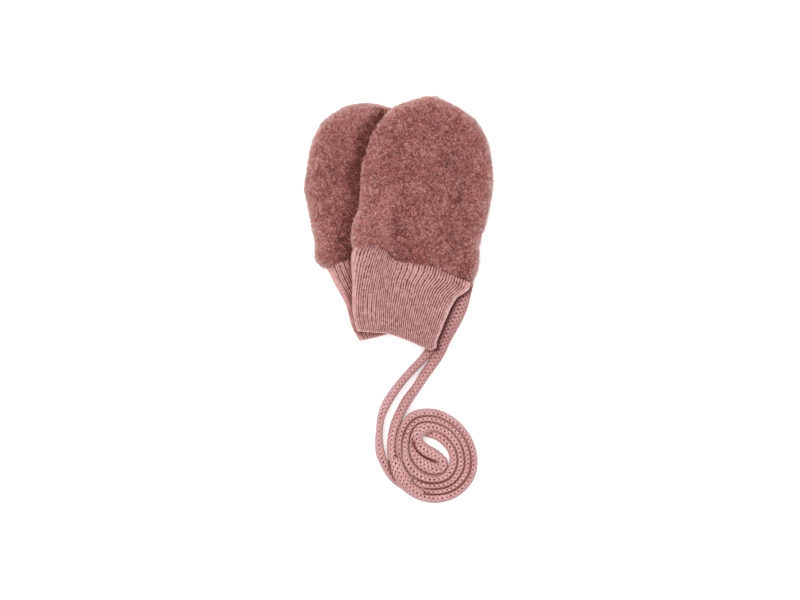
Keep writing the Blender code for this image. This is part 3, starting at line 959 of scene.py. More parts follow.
@dataclass(frozen=True)
class NapPlan:
    """How many fibres a panel's nap has and how they stand, in millimetres and radians.

    Swirl is the size of the whirls that neighbours share, swirl_turn how far these turn, and the spreads
    are each fibre's own. A knee share of the length comes before the bend.
    """

    fibres: int
    seed: int
    reach: float = 1.7
    evenness: float = 9.0
    long_share: float = 0.05
    long_factor: float = 1.5
    width: float = 0.32
    root_depth: float = 0.15
    knee: float = 0.45
    swirl: float = 5.0
    swirl_turn: float = 5.0
    swirl_seed: int = 11
    spread: float = 1.2
    lift: float = 0.5
    lift_spread: float = 0.28
    rim_lift: float = 0.3
    bend_spread: float = 1.3
    bend_lift: float = 0.35
    lift_limits: tuple[float, float] = (0.05, 1.4)
    tilt_spread: float = 0.5
    width_range: tuple[float, float] = (0.7, 1.3)
    tuft: float = 1.6
    tuft_seed: int = 31
    tuft_reach: float = 0.6
    rim_trim: float = 0.3
    tone: float = 0.49
    tone_spread: float = 0.22
    # Bounds of each fibre's shade; the last lets the painted pale highlight at the outline go paler.
    darkest: float = 0.02
    palest: float = 0.88
    palest_rim: float = 0.14


@dataclass(frozen=True)
class FleeceHand:
    """One mitten's hand: two fleece panels with a side seam between them, and their nap.

    A slope is the upward part of a unit normal, and cut_extra is what a flat panel loses when it is
    rounded.
    """

    name: str
    edges: tuple[Points, ...]
    underside: Field
    crown: Field
    crown_rounding: float
    creases: Points
    palm_creases: Points
    cover: Field
    back_nap: NapPlan
    palm_nap: NapPlan
    # Painted light and shade over the plan, and the strength of the painted pale highlight along the outline.
    tone: Field
    free_edge: Field
    columns: int = 96
    rows: int = 124
    seam_gap: float = 0.3
    wall: float = 3.8
    wall_at_join: float = 2.4
    belly: float = 4.0
    belly_at_join: float = 3.1
    crown_at_join: float = 0.58
    join_taper: float = 12.0
    belly_rounding: float = 5.5
    nap_depth: float = 0.5
    # The painted pale highlight along the outline: how far it reaches and how strong it is.
    rim_width: float = 2.6
    rim_highlight: float = 0.8
    lump: float = 0.55
    palm_relief: float = 0.5
    join_share: float = 0.025
    turned_slope: float = 0.45
    upright_slope: float = 0.8
    under_share: float = 0.25
    clearance: float = 0.05
    cut_extra: tuple[float, float] = (14.0, 12.0)
    cut_area: float = 1.05

    def layer(self, u: Array, v: Array, face: Face, inside: bool) -> Array:
        """Points of a panel's outer or inner side.

        The plan is a Coons patch, drawn in by the wall for the inner side. The height over or under the
        side seam is the crown or the belly, less the wall inside, times a quarter circle in from the seam.

        Args:
            u: Place across, from 0 to 1.
            v: Place from the join to the fingertips.
            face: The panel.
            inside: Whether this is the inner side.

        Returns:
            A grid of points.
        """
        left, right = (np.asarray(edge) for edge in self.edges[2:])
        if inside:
            share = self.wall / np.linalg.norm(right.mean(axis=0) - left.mean(axis=0))
            u = share + (1.0 - 2.0 * share) * u
            v = v * (1.0 - self.wall / running_length(right)[-1])
        plan = patch(self.edges, u, v)
        x, y = plan[..., 0], plan[..., 1]
        from_seam = distance_to(plan, np.concatenate([plan[:, 0], plan[-1, 1:-1], plan[::-1, -1]]))
        from_join = distance_to(plan, traced(self.edges[0])) / self.join_taper
        belly = self.belly_at_join + (self.belly - self.belly_at_join) * smoothstep(from_join)
        wall = self.wall_at_join + (self.wall - self.wall_at_join) * smoothstep(from_join)
        if face is Face.BACK:
            full = self.crown(x, y) * (self.crown_at_join + (1.0 - self.crown_at_join) * rounded(from_join))
            roundness = rounded(from_seam / self.crown_rounding)
        else:
            full, roundness = belly, rounded(from_seam / self.belly_rounding)
        height = self.seam_gap / 2.0 + (full - inside * wall - self.seam_gap / 2.0) * roundness
        return np.dstack([x, y, self.underside(x, y) + belly + face.side * height])

    def outer(self, u: Array, v: Array, face: Face) -> Array:
        """Outer side of the felted ground: the panel's form less the nap's depth, with lumps and creases.

        These move a point along the form's normal, and only up or down at the join.

        Args:
            u: Place across, from 0 to 1.
            v: Place from the join to the fingertips.
            face: The panel.

        Returns:
            A grid of points.
        """
        form = self.layer(u, v, face, False)
        x, y = form[..., 0], form[..., 1]
        normals = face.side * grid_normals(form)
        normals[..., :2] *= rising(v, 0.0, self.join_share)[..., None]
        table = self.creases if face is Face.BACK else self.palm_creases
        rise = self.lump * mixed_lumps(x, y, FELT_LUMPS) + soft_creases(x, y, table)
        if face is Face.PALM:
            rise = rise * self.palm_relief
        form = form + normals * (rise - self.nap_depth)[..., None]
        form[..., 2] = np.maximum(form[..., 2], self.clearance)
        return form

    def rim(self, x: Array, y: Array) -> Array:
        """Nearness to the outline: 1 on it where nothing lies beside it, falling by e for each rim width.
        It sets the strength of the painted pale highlight along the outline.

        Args:
            x: Plan x of each point.
            y: Plan y of each point.

        Returns:
            The nearness, from 0 to 1.
        """
        tip, left, right = (traced(edge) for edge in self.edges[1:])
        away = distance_to(in_plan(x, y), np.concatenate([left, tip, right[::-1]]))
        return self.free_edge(x, y) * np.exp(-away / self.rim_width)

    def turned_under(self, face: Face, slope: Array) -> Array:
        """Share of the painted pale highlight left as the lower panel turns from the seam to the surface."""
        left = falling(np.abs(slope), self.turned_slope, self.turned_slope)
        return left if face is Face.PALM else np.ones_like(slope)

    def build(self, base: Finish, nap: Finish) -> None:
        """Make both panels and their nap.

        Args:
            base: Finish of the felted ground.
            nap: Finish of the fibres.
        """
        for face, plan in ((Face.BACK, self.back_nap), (Face.PALM, self.palm_nap)):
            self.build_panel(face, plan, base, nap)

    def build_panel(self, face: Face, plan: NapPlan, base: Finish, nap: Finish) -> None:
        """Make one panel as a thin closed shell, with its nap.

        Args:
            face: The panel.
            plan: Its nap.
            base: Finish of the felted ground.
            nap: Finish of the fibres.
        """
        coarser = 1 if face is Face.BACK else 2
        u, v = np.meshgrid(spaced(self.columns // coarser), spaced(self.rows // coarser))
        outer, inner = self.outer(u, v, face), self.layer(u, v, face, True)
        numbers = np.arange(u.size).reshape(u.shape)
        loop = np.concatenate([numbers[0, :-1], numbers[:-1, -1], numbers[-1, :0:-1], numbers[:0:-1, 0]])
        outside, inside = grid_quads(*u.shape, False), grid_quads(*u.shape, False, u.size)
        faces = np.concatenate([outside, inside[:, ::-1], rim_quads(loop, loop + u.size)])
        if face is Face.PALM:
            faces = faces[:, ::-1]
        points = np.concatenate([outer, inner]).reshape(-1, 3)
        shell = piece(f"{self.name}_{face.value}_fleece", points, faces, base)
        x, y = outer[..., 0], outer[..., 1]
        normals = grid_normals(outer)
        # Painted light and shade on the felted ground, with the painted pale highlight along the outline.
        pale = self.rim(x, y) * self.turned_under(face, normals[..., 2])
        paint(shell, "shade", np.tile((self.tone(x, y) + self.rim_highlight * pale).ravel(), 2))
        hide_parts(f"{self.name}_{face.value}")
        fibres = self.fibres(outer, face.side * normals, face, plan, nap)
        low, high = outer.reshape(-1, 3).min(axis=0), outer.reshape(-1, 3).max(axis=0)
        width, length = (high[:2] - low[:2] + self.cut_extra) * MM

    def fibres(
        self, surface: Array, normals: Array, face: Face, plan: NapPlan, nap: Finish
    ) -> bpy.types.Object:
        """Short bent fibres rooted all over a panel, each a thin ribbon of three triangles.

        A fibre rises from its root along a heading that neighbours share in swirls, and bends over half
        way. Roots are spread by the area of the grid's cells times the cover.

        Args:
            surface: The felted ground's grid of points.
            normals: Its unit normals.
            face: The panel.
            plan: Number and stance of the fibres.
            nap: Finish of the fibres.

        Returns:
            The nap as one piece.
        """
        rng = np.random.default_rng(plan.seed)
        count = plan.fibres
        cells, stance = cell_corners(surface), cell_corners(normals)
        diagonals = cells[:, :, 2] - cells[:, :, 0], cells[:, :, 3] - cells[:, :, 1]
        area = np.linalg.norm(np.cross(*diagonals), axis=-1)
        middle = cells.mean(axis=2)
        weight = (area * self.cover(middle[..., 0], middle[..., 1])).ravel()
        if face is Face.PALM:
            upright = np.abs(stance[..., 2].mean(axis=2)).ravel() < self.upright_slope
            weight *= self.under_share + (1.0 - self.under_share) * upright
        chosen = rng.choice(len(weight), count, p=weight / weight.sum())
        a, b = rng.uniform(size=(2, count, 1))
        corners = np.stack([(1 - a) * (1 - b), a * (1 - b), a * b, (1 - a) * b], axis=1)
        root = (cells.reshape(-1, 4, 3)[chosen] * corners).sum(axis=1)
        normal = unit((stance.reshape(-1, 4, 3)[chosen] * corners).sum(axis=1))
        x, y = root[:, 0], root[:, 1]
        heading = plan.swirl_turn * lumps(x, y, plan.swirl, plan.swirl_seed + plan.seed)
        heading = heading + rng.normal(0.0, plan.spread, count)
        flat_axis = np.where(np.abs(normal[:, :1]) < 0.9, [[1.0, 0.0, 0.0]], [[0.0, 1.0, 0.0]])
        side = unit(np.cross(normal, flat_axis))
        fore = np.cross(side, normal)

        def lean(turn: Array, rise: Array) -> Array:
            """Direction at a turn in the surface's plane and a rise out of it."""
            flat = fore * np.cos(turn)[:, None] + side * np.sin(turn)[:, None]
            return flat * np.cos(rise)[:, None] + normal * np.sin(rise)[:, None]

        length = plan.reach * rng.gamma(plan.evenness, 1.0 / plan.evenness, count)[:, None]
        length = length * np.where(rng.uniform(size=(count, 1)) < plan.long_share, plan.long_factor, 1.0)
        rim = self.rim(x, y)
        tufts = np.clip(lumps(x, y, plan.tuft, plan.tuft_seed), 0.0, 1.0)
        length = length * (1.0 - rim * (plan.rim_trim - plan.tuft_reach * tufts))[:, None]
        rise = rng.normal(plan.lift, plan.lift_spread, count) + plan.rim_lift * rim
        rise = np.clip(rise, *plan.lift_limits)
        bend = heading + rng.normal(0.0, plan.bend_spread, count)
        first, second = lean(heading, rise), lean(bend, rise * plan.bend_lift)
        knee = root + first * length * plan.knee
        tip = knee + second * length * (1.0 - plan.knee)
        tilt = rng.normal(0.0, plan.tilt_spread, count)[:, None]
        broad = unit(np.cross(normal, first)) * np.cos(tilt) + normal * np.sin(tilt)
        broad = broad * (0.5 * plan.width * rng.uniform(*plan.width_range, count)[:, None])
        start = root - normal * plan.root_depth
        points = np.stack([start - broad, start + broad, knee - broad, knee + broad, tip], axis=1)
        points[..., 2] = np.maximum(points[..., 2], self.clearance)
        # Each fibre's shade: its own random tone, the painted light and shade over the plan and the painted
        # pale highlight along the outline.
        pale = rim * self.turned_under(face, normal[:, 2])
        shade = plan.tone + self.tone(x, y) + self.rim_highlight * pale + rng.normal(0.0, plan.tone_spread, count)
        shade = shade + mixed_lumps(x, y, SHADE_LUMPS)
        shade = np.clip(shade, plan.darkest, plan.palest + plan.palest_rim * pale)
        along = np.array([0.0, 0.0, 0.5, 0.5, 1.0])
        uv = np.stack(np.broadcast_arrays(shade[:, None], along[None, :]), axis=-1).reshape(-1, 2)
        ribbon = np.array([[0, 1, 3], [0, 3, 2], [2, 3, 4]])
        faces = (np.arange(count)[:, None, None] * len(along) + ribbon).reshape(-1, 3)
        made = piece(f"{self.name}_{face.value}_nap", points.reshape(-1, 3), faces, nap, uv)
        return made


@dataclass(frozen=True)
class RibCuff:
    """One mitten's doubled rib-knit cuff: a flattened tube with an open mouth.

    side_fold and lean count wales. The lean's other numbers, mouth_edge, mouth_fade, join_fade and
    join_shadow_band are shares of the cuff's width or length.
    """

    name: str
    join: Points
    span: tuple[float, float]
    left: Points
    right: Points
    mouth: Points
    underside: Field
    wales: int
    merge: Field
    swell: Points
    lift: Field
    # Painted light and shade over the cuff's upper wall.
    tone: Field
    lean: float = 0.0
    seam_shade_from: float = -60.0
    half_thickness: float = 2.9
    wall: float = 2.3
    rounding: float = 3.2
    lift_press: float = 0.14
    least_height: float = 0.1
    join_gap: float = 0.1
    join_points: int = 60
    fold_margin: float = 0.1
    furrow: float = 0.5
    # Painted furrow shade on the lower wall, the same all over.
    under_furrow: float = 0.3
    rib_height: float = 0.42
    rib_power: float = 0.9
    merge_share: float = 0.6
    side_fold: Step = (0.3, 2.6)
    mouth_edge: float = 1.0 / 36.0
    mouth_fade: float = 1.0 / 6.0
    join_fade: float = 1.0 / 12.0
    # The painted shadow line along the join: where it starts along the cuff, its strength and its reach from
    # the left, then the strongest painted furrow shade.
    join_shadow_band: Step = (0.98, 0.02)
    join_shadow_strength: float = 0.8
    seam_shade_over: float = 8.0
    darkest_furrow_shade: float = 1.6
    stitch: float = 1.2
    lean_centre: float = 0.15
    lean_width: float = 0.16
    lean_from: float = 0.4
    points_per_wale: int = 8
    under_columns: int = 60
    rows: int = 70
    close_rows: Points = ((0.0, 0.02, 5.0), (1.0, 0.02, 3.0))

    def edges(self) -> tuple[Points | Array, ...]:
        """Mouth, join and both sides, the join being set off by its gap and the sides run up to it.

        Returns:
            The four lines in the order of a patch.
        """
        join = smooth_curve(self.join, np.linspace(*self.span, self.join_points))
        along = unit(np.gradient(join, axis=0))
        join = join + self.join_gap * np.stack([along[:, 1], -along[:, 0]], axis=1)
        return self.mouth, join, (*self.left, tuple(join[0])), (*self.right, tuple(join[-1]))

    def build(self, knit: Finish) -> None:
        """Make the cuff.

        The plan is a Coons patch, drawn in by the wall inside. The height over the middle is half the
        thickness times a quarter circle in from each side edge, with furrows between the wales, and both
        walls meet in a round fold at the mouth.

        Args:
            knit: Finish of the rib knit.
        """
        upper = np.linspace(0.0, 1.0, self.wales * self.points_per_wale + 1)
        under = spaced(self.under_columns)[-2:0:-1]
        side = np.concatenate([np.ones_like(upper), -np.ones_like(under)])
        levels = spaced(self.rows, self.close_rows)
        u, v = np.meshgrid(np.concatenate([upper, under]), levels)
        edges = self.edges()
        left, right = edges[2:]
        width = np.linalg.norm(smooth_curve(right, levels) - smooth_curve(left, levels), axis=1)[:, None]
        length = running_length(np.asarray(left))[-1]
        shells = []
        for wall in (0.0, self.wall):
            share = wall / width
            plan = patch(edges, share + (1.0 - 2.0 * share) * u, v)
            x, y = plan[..., 0], plan[..., 1]
            from_edge = np.minimum(u, 1.0 - u) * (width - 2.0 * wall)
            roundness = rounded(from_edge / (self.rounding - wall / 2.0))
            fold = rounded(v * length / (self.wall / 2.0 + self.fold_margin))
            lift = self.lift(x, y)
            half = self.half_thickness * (1.0 - self.lift_press * lift)
            middle_wall = half - self.wall / 2.0
            height = middle_wall + (half - wall - middle_wall) * fold
            if wall == 0.0:
                ribs, depth = self.relief(u, v, x, y)
                height = height + ribs * fold * (side > 0.0)
                # Painted shade in the furrows, a fixed one on the lower wall, and the cuff's painted light
                # and shade.
                furrow = np.where(side > 0.0, depth, self.under_furrow)
                shade = np.where(side > 0.0, self.tone(x, y), 0.0)
            z = self.underside(x, y) + lift + half + side * np.maximum(height, self.least_height) * roundness
            shells.append(np.dstack([x, y, z]))
        rows, columns = u.shape
        outside, inside = grid_quads(rows, columns, True), grid_quads(rows, columns, True, u.size)
        mouth_loop = np.arange(columns)
        join_loop = mouth_loop + u.size - columns
        rims = [rim_quads(mouth_loop, mouth_loop + u.size), rim_quads(join_loop, join_loop + u.size)[:, ::-1]]
        faces = np.concatenate([outside, inside[:, ::-1], *rims])
        wale = np.where(side > 0.0, self.wale_at(u, v), (2.0 - u) * self.wales)
        uv = np.tile(np.dstack([wale, v * length / self.stitch]).reshape(-1, 2), (2, 1))
        points = np.concatenate(shells).reshape(-1, 3)
        made = piece(f"{self.name}_cuff_knit", points, faces, knit, uv, 2.0 * self.wales)
        paint(made, "furrow", np.tile(furrow.ravel(), 2))
        paint(made, "shade", np.tile(shade.ravel(), 2))
        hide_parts(f"{self.name}_cuff")

    def wale_at(self, u: Array, v: Array) -> Array:
        """Count of wales up to a place, with the ones near the left fold leaning right towards the join."""
        bell = np.exp(-(((u - self.lean_centre) / self.lean_width) ** 2))
        return u * self.wales - self.lean * bell * rising(v, self.lean_from, 1.0 - self.lean_from)

    def relief(self, u: Array, v: Array, x: Array, y: Array) -> tuple[Array, Array]:
        """Wales with round tops between furrows, every second furrow shallow where they are merged.

        The side folds are smooth, and so is a narrow turned edge at the mouth.

        Args:
            u: Place across, from 0 to 1.
            v: Place from the mouth to the join.
            x: Plan x of each point.
            y: Plan y of each point.

        Returns:
            Height over the plain wall with the cuff's soft swellings, and the painted furrow shade: the
            furrow's depth from 0 to 1, with a painted shadow line added along the join.
        """
        wale = self.wale_at(u, v)
        second = np.round(wale).astype(int) % 2 == 0
        merged = self.merge_share * self.merge(x, y)
        top = np.abs(np.sin(np.pi * wale)) ** (self.rib_power + np.where(second, 0.0, merged))
        share = np.where(second, 1.0 - merged, 1.0)
        from_fold = np.minimum(u, 1.0 - u) * self.wales
        depth = (1.0 - top) * share * rising(from_fold, *self.side_fold) * rising(v, 0.0, self.mouth_edge)
        # Painted shadow line along the join, right of seam_shade_from.
        near_join = rising(v, *self.join_shadow_band) * rising(x, self.seam_shade_from, self.seam_shade_over)
        fade = rising(v, 0.0, self.mouth_fade) * falling(v, 1.0, self.join_fade)
        height = self.rib_height - self.furrow * depth + soft_creases(x, y, self.swell) * fade
        return height, np.clip(depth + self.join_shadow_strength * near_join, 0.0, self.darkest_furrow_shade)


# Lines that cast a painted shade on the cord lying beside them, each with its strength and its reach.
CORD_SHADOWS = (
    (0.45, FRONT_CUFF_RIGHT, 3.4), (0.25, FRONT_MOUTH, 2.5), (0.45, FOLD_CREASE, 1.2),
    (0.5, STRAND_CREASE, 1.1),
)


@dataclass(frozen=True)
class KnitCord:
    """The one cord: both free strands and the coil, a tube whose section flattens along the way.

    touch_start, twist_end, strand_shade_end and rim_start are lengths along the cord. lower_top and groove are a
    height and a width between two stretches, coil_edge is a radius and rim_side a place on the section.
    """

    diameter: float = 5.4
    step: float = 0.46
    around: int = 48
    columns: int = 12
    stitch: float = 2.7
    squareness: float = 2.9
    leg: float = 0.07
    valley: float = 0.04
    shear: float = CordKnit.shear
    strand_twist: float = -0.8
    flat_columns: float = 1.5
    squeeze: float = 0.7
    # Strength of the painted pale highlight on open sides.
    rim_share: float = 0.7
    touch_shade: float = 0.78
    touch_reach: float = 0.5
    # Painted shade on the free strands, stronger towards their right side.
    strand_shade: float = 0.07
    clearance: float = 0.02
    pressed_from: float = 6.4
    pressed_over: float = 2.2
    pressed_calm: float = 0.6
    least_apart: float = 15.0
    square_within: float = 0.8
    least_sideways: float = 1.0
    touch_margin: float = 1.2
    open_margin: float = 7.0
    out_of_reach: float = 12.0
    lower_top: Step = (-3.0, 4.5)
    softening: int = 9
    coil_edge: Step = (34.0, 4.0)
    groove: Step = (0.6, 2.4)
    touch_start: Step = (74.0, 12.0)
    twist_end: Step = (125.0, 30.0)
    strand_shade_end: Step = (115.0, 40.0)
    rim_start: Step = (50.0, 20.0)
    rim_side: Step = (0.3, 0.6)
    line_samples: int = 8000

    def stations(self) -> Array:
        """The tables joined, from the front mitten round the coil to the rear one.

        Returns:
            Rows of x, y, width, height and underside.
        """

        def turned(table: Points) -> Array:
            """A table of the coil with its angle and radius turned into x and y.

            Args:
                table: Rows of angle, radius, width, height and underside.

            Returns:
                Rows of x, y, width, height and underside.
            """
            rows = np.asarray(table)
            turn = np.radians(rows[:, 0])
            x = COIL_CENTRE[0] - rows[:, 1] * np.cos(turn)
            y = COIL_CENTRE[1] - rows[:, 1] * np.sin(turn)
            return np.column_stack([x, y, rows[:, 2:]])

        def grounded(table: Points) -> Array:
            """A free strand's table with an underside on the surface."""
            rows = np.asarray(table)
            return np.column_stack([rows, np.zeros(len(rows))])

        pressed = np.array([0.0, 0.0, self.squeeze, 0.0, 0.0])
        front = [grounded(FRONT_STRAND), turned(FRONT_COIL) + pressed, np.asarray(COIL_FOLD) + pressed]
        rear = [grounded(REAR_STRAND), turned(REAR_COIL) + pressed]
        return np.concatenate([*front, np.concatenate(rear)[::-1]])

    def touching(self, centre: Array, right: Array, run: Array, size: Array) -> Array:
        """Where another stretch of the cord lies beside each point, and how much painted shade it gives.

        A stretch counts where it passes square to a point, not much further off than both half widths. It
        shades less where its top is lower, and less on the coil's upper right, which lies open to the light.

        Args:
            centre: Points of the centreline.
            right: Unit direction to the right at each point.
            run: Length along the cord at each point.
            size: Width and height at each point.

        Returns:
            Six columns: the left neighbour's near edge, measured to the right, its shade, and how open that
            side is, then the same for the right neighbour.
        """
        others = slice(None, None, 2)
        offset = centre[None, others] - centre[:, None]
        sideways = (offset[..., :2] * right[:, None, :2]).sum(axis=-1)
        ahead = offset[..., 0] * -right[:, None, 1] + offset[..., 1] * right[:, None, 0]
        apart = np.abs(run[None, others] - run[:, None]) > self.least_apart
        half = size[:, 0] / 2.0
        reach = half[:, None] + half[None, others] + self.touch_margin
        beside = apart & (np.abs(ahead) < self.square_within) & (np.abs(sideways) > self.least_sideways)
        found = beside & (np.abs(sideways) < reach)
        close = beside & (np.abs(sideways) < reach + self.open_margin)
        top = centre[:, 2] + size[:, 1] / 2.0
        weight = rising(top[None, others] - top[:, None], *self.lower_top) * found
        from_middle = centre[:, :2] - COIL_CENTRE
        radius = np.linalg.norm(from_middle, axis=1)
        facing = from_middle.sum(axis=1) / np.maximum(radius, 1.0) / math.sqrt(2.0)
        open_side = falling(radius, *self.coil_edge) * (1.0 + facing) / 2.0
        rows = np.arange(len(centre))

        def softened(values: Array) -> Array:
            """The running mean over a few steps of the cord."""
            return np.convolve(values, np.ones(self.softening) / self.softening, mode="same")

        columns = []
        for sign in (-1.0, 1.0):
            on_side = sideways * sign > 0.0
            best = (weight * on_side * (self.out_of_reach - np.abs(sideways))).argmax(axis=1)
            shade = np.where(on_side[rows, best], weight[rows, best], 0.0)
            known = np.flatnonzero(shade > 0.0)
            edge = sideways[rows, best] - sign * half[others][best]
            columns.append(np.interp(rows, known, edge[known]))
            columns.append(softened(shade) * (1.0 - 0.5 * open_side))
            columns.append(1.0 - softened((close & on_side).any(axis=1)))
        return np.stack(columns, axis=1)

    def laid_line(self) -> tuple[Array, Array]:
        """The stations joined by a Hermite curve over their plan distance, at even steps of its length.

        Returns:
            Rows of x, y, width, height and underside, and the length up to each row.
        """
        rows = self.stations()
        chord = running_length(rows[:, :2])
        dense = hermite(rows, chord, np.linspace(0.0, chord[-1], self.line_samples))
        length = running_length(dense[:, :2])
        run = np.linspace(0.0, length[-1], int(length[-1] / self.step) + 1)
        return np.stack([np.interp(run, length, column) for column in dense.T], axis=1), run

    def build(self, knit: Finish) -> None:
        """The section is a superellipse of the laid line's width and height, with V legs raised and valleys
        between the columns. Where the cord is pressed wide, more of its columns show on top.

        Args:
            knit: Finish of the cord.
        """
        line, run = self.laid_line()
        count = len(run)
        width, height = line[:, 2:3], line[:, 3:4]
        base = np.maximum(line[:, 4:5], 0.0) + self.clearance
        centre = np.column_stack([line[:, :2], (base + height / 2.0)[:, 0]])
        along = unit(np.gradient(centre, axis=0))
        right = unit(np.stack([along[:, 1], -along[:, 0], np.zeros(count)], axis=1))
        up = np.cross(right, along)
        turn = np.linspace(0.0, 2.0 * np.pi, self.around, endpoint=False) - np.pi / 2.0
        power = 2.0 / self.squareness
        flat, tall = (np.sign(part) * np.abs(part) ** power for part in (np.cos(turn), np.sin(turn)))
        from_end = np.minimum(run, run[-1] - run)[:, None]
        twist = self.strand_twist * falling(from_end, *self.twist_end)
        pressed = rising(width, self.pressed_from, self.pressed_over)
        column = np.arange(self.around)[None, :] * self.columns / self.around + twist
        column = column - self.flat_columns * pressed * np.cos(turn)[None, :]
        away = np.abs((column + 0.5) % 1.0 - 0.5) * 2.0
        stitches = np.broadcast_to(run[:, None] / self.stitch, column.shape)
        phase = stitches + self.shear * column - 0.5 * away
        relief = -self.leg * np.cos(2.0 * np.pi * phase) - self.valley * (1.0 - away) ** 2
        relief = relief * rising(np.sin(turn)[None, :], -1.0, 0.5) * (1.0 - self.pressed_calm * pressed)
        sides = (flat * (width / 2.0 + relief))[..., None] * right[:, None, :]
        rises = (tall * (height / 2.0 + relief))[..., None] * up[:, None, :]
        points = centre[:, None, :] + sides + rises
        points[..., 2] = np.maximum(points[..., 2], self.clearance)
        faces = np.concatenate([grid_quads(count, self.around, True), self.caps(count)])
        uv = np.stack([column, stitches], axis=-1).reshape(-1, 2)
        made = piece("cord_knit_tube", points.reshape(-1, 3), faces, knit, uv, self.columns)
        beside = self.touching(centre, right, run, line[:, 2:4])
        # Painted shade where stretches touch, beside the cuff and along the creases, and a painted pale
        # highlight on the open sides, read by the cord's finish.
        shade, rim = self.shading(beside.T[:, :, None], points, flat, width, from_end)
        rim = rim * rising(run[:, None], *self.rim_start) * rising(np.sin(turn)[None, :], -0.5, 0.5)
        paint(made, "shade", shade)
        paint(made, "spread", np.broadcast_to(pressed, shade.shape))
        paint(made, "rim", rim * (1.0 - np.clip(-4.0 * shade, 0.0, 1.0)))
        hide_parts("cord_front_strand", "cord_rear_strand", "cord_coil")

    def shading(
        self, beside: Array, points: Array, flat: Array, width: Array, from_end: Array
    ) -> tuple[Array, Array]:
        """Painted shade where stretches touch and beside the cuff and the creases, and a painted pale
        highlight on open sides.

        Args:
            beside: What touching() found, one row for each of its columns.
            points: The cord's grid of points.
            flat: Place across the section, from -1 to 1.
            width: The cord's width at each step.
            from_end: Length to the nearer end.

        Returns:
            The painted shade, below 0 where it is darker, and the painted highlight's strength.
        """
        left_edge, left_shade, left_open, right_edge, right_shade, right_open = beside
        sideways = flat[None, :] * width / 2.0
        shade = left_shade * falling(sideways - left_edge, self.touch_reach, self.touch_reach)
        shade = shade + right_shade * falling(right_edge - sideways, self.touch_reach, self.touch_reach)
        shade = -self.touch_shade * shade * rising(right_edge - left_edge, *self.groove)
        shade = shade * rising(from_end, *self.touch_start)
        for strength, line, reach in CORD_SHADOWS:
            shade = shade - strength * near_line(points[..., 0], points[..., 1], line, reach)
        # Painted shade on the free strands, stronger towards their right side.
        shade = shade - self.strand_shade * (1.0 + smoothstep(flat)) * falling(from_end, *self.strand_shade_end)
        rim = left_open * rising(-flat, *self.rim_side) + right_open * rising(flat, *self.rim_side)
        return shade, self.rim_share * rim

    def caps(self, count: int) -> Array:
        """Quads that close the two ends, each pairing points across the section.

        Args:
            count: Number of sections along the cord.

        Returns:
            One row of four point numbers for each quad.
        """
        half = self.around // 2
        low = np.arange(half - 1)
        first = np.stack([low, self.around - 1 - low, self.around - 2 - low, low + 1], axis=1)
        last = first[:, ::-1] + (count - 1) * self.around
        return np.concatenate([first, last])


@dataclass(frozen=True)
class Studio:
    """Camera straight above, a pale floor and soft light.

    look_at, the lens and the sensor are in millimetres and the other lengths in metres.
    """

    look_at: tuple[float, float] = (0.9, -46.5)
    height: float = 1.345
    lens: float = 100.0
    sensor: float = 36.0
    clip: tuple[float, float] = (0.01, 20.0)
    sky: float = 0.83
    floor_half: float = 3.0

    def camera(self) -> None:
        """Camera that looks straight down, its upper side towards +Y."""
        data = bpy.data.cameras.new("camera")
        data.lens, data.sensor_width = self.lens, self.sensor
        data.clip_start, data.clip_end = self.clip
        item = placed("camera", data)
        item.location = (self.look_at[0] * MM, self.look_at[1] * MM, self.height)
        bpy.context.scene.camera = item

    def lights(self) -> None:
        """A large soft light up and to the left, a weaker one to the right, and an even sky."""
        for name, power, side, place, aim in (
            ("key_light", 8.0, 0.9, (-0.55, 0.45, 1.0), (-24.0, -29.0)),
            ("fill_light", 2.7, 1.2, (0.7, -0.5, 1.1), (24.0, 33.0)),
        ):
            data = bpy.data.lights.new(name, "AREA")
            data.energy, data.size = power, side
            item = placed(name, data)
            item.location = place
            item.rotation_euler = (math.radians(aim[0]), math.radians(aim[1]), 0.0)
        world = bpy.data.worlds.new("soft_sky")
        world.use_nodes = True
        background = world.node_tree.nodes["Background"]
        background.inputs["Color"].default_value = (*WHITE, 1.0)
        background.inputs["Strength"].default_value = self.sky
        bpy.context.scene.world = world
        bpy.context.scene.view_settings.view_transform = "Standard"

    def floor(self, finish: Finish) -> None:
        """A wide flat floor at z = 0.

        Args:
            finish: The floor's finish.
        """
        half = self.floor_half
        corners = [(-half, -half, 0.0), (half, -half, 0.0), (half, half, 0.0), (-half, half, 0.0)]
        mesh = bpy.data.meshes.new("floor")
        mesh.from_pydata(corners, [], [(0, 1, 2, 3)])
        mesh.materials.append(finish)
        placed("floor", mesh)


# Fields over the plan. Places in them are millimetres as in the tables, and what they give is a height, a
# painted light or shade to add, or a share.
def nowhere(x: Array, y: Array) -> Array:
    """0 everywhere: an underside flat on the surface, or no lift."""
    return np.zeros_like(x)


# Heights of the front mitten's underside over the rear hand, cuff and strand, and how far it takes to
# change between them and to come down to the surface. Crowns are heights above a side seam.
OVER_HAND, OVER_CUFF, OVER_STRAND = 8.6, 6.6, 5.9
JOIN_CLEARANCE, JOIN_RISE, MOUTH_FALL = 2.0, 14.0, 8.0
DROP_LEAD, DROP_LENGTH = 5.0, 20.0
FRONT_CROWN, TUCK_CROWN, REAR_CROWN, FREE_CROWN = 6.3, 1.7, 4.1, 1.9


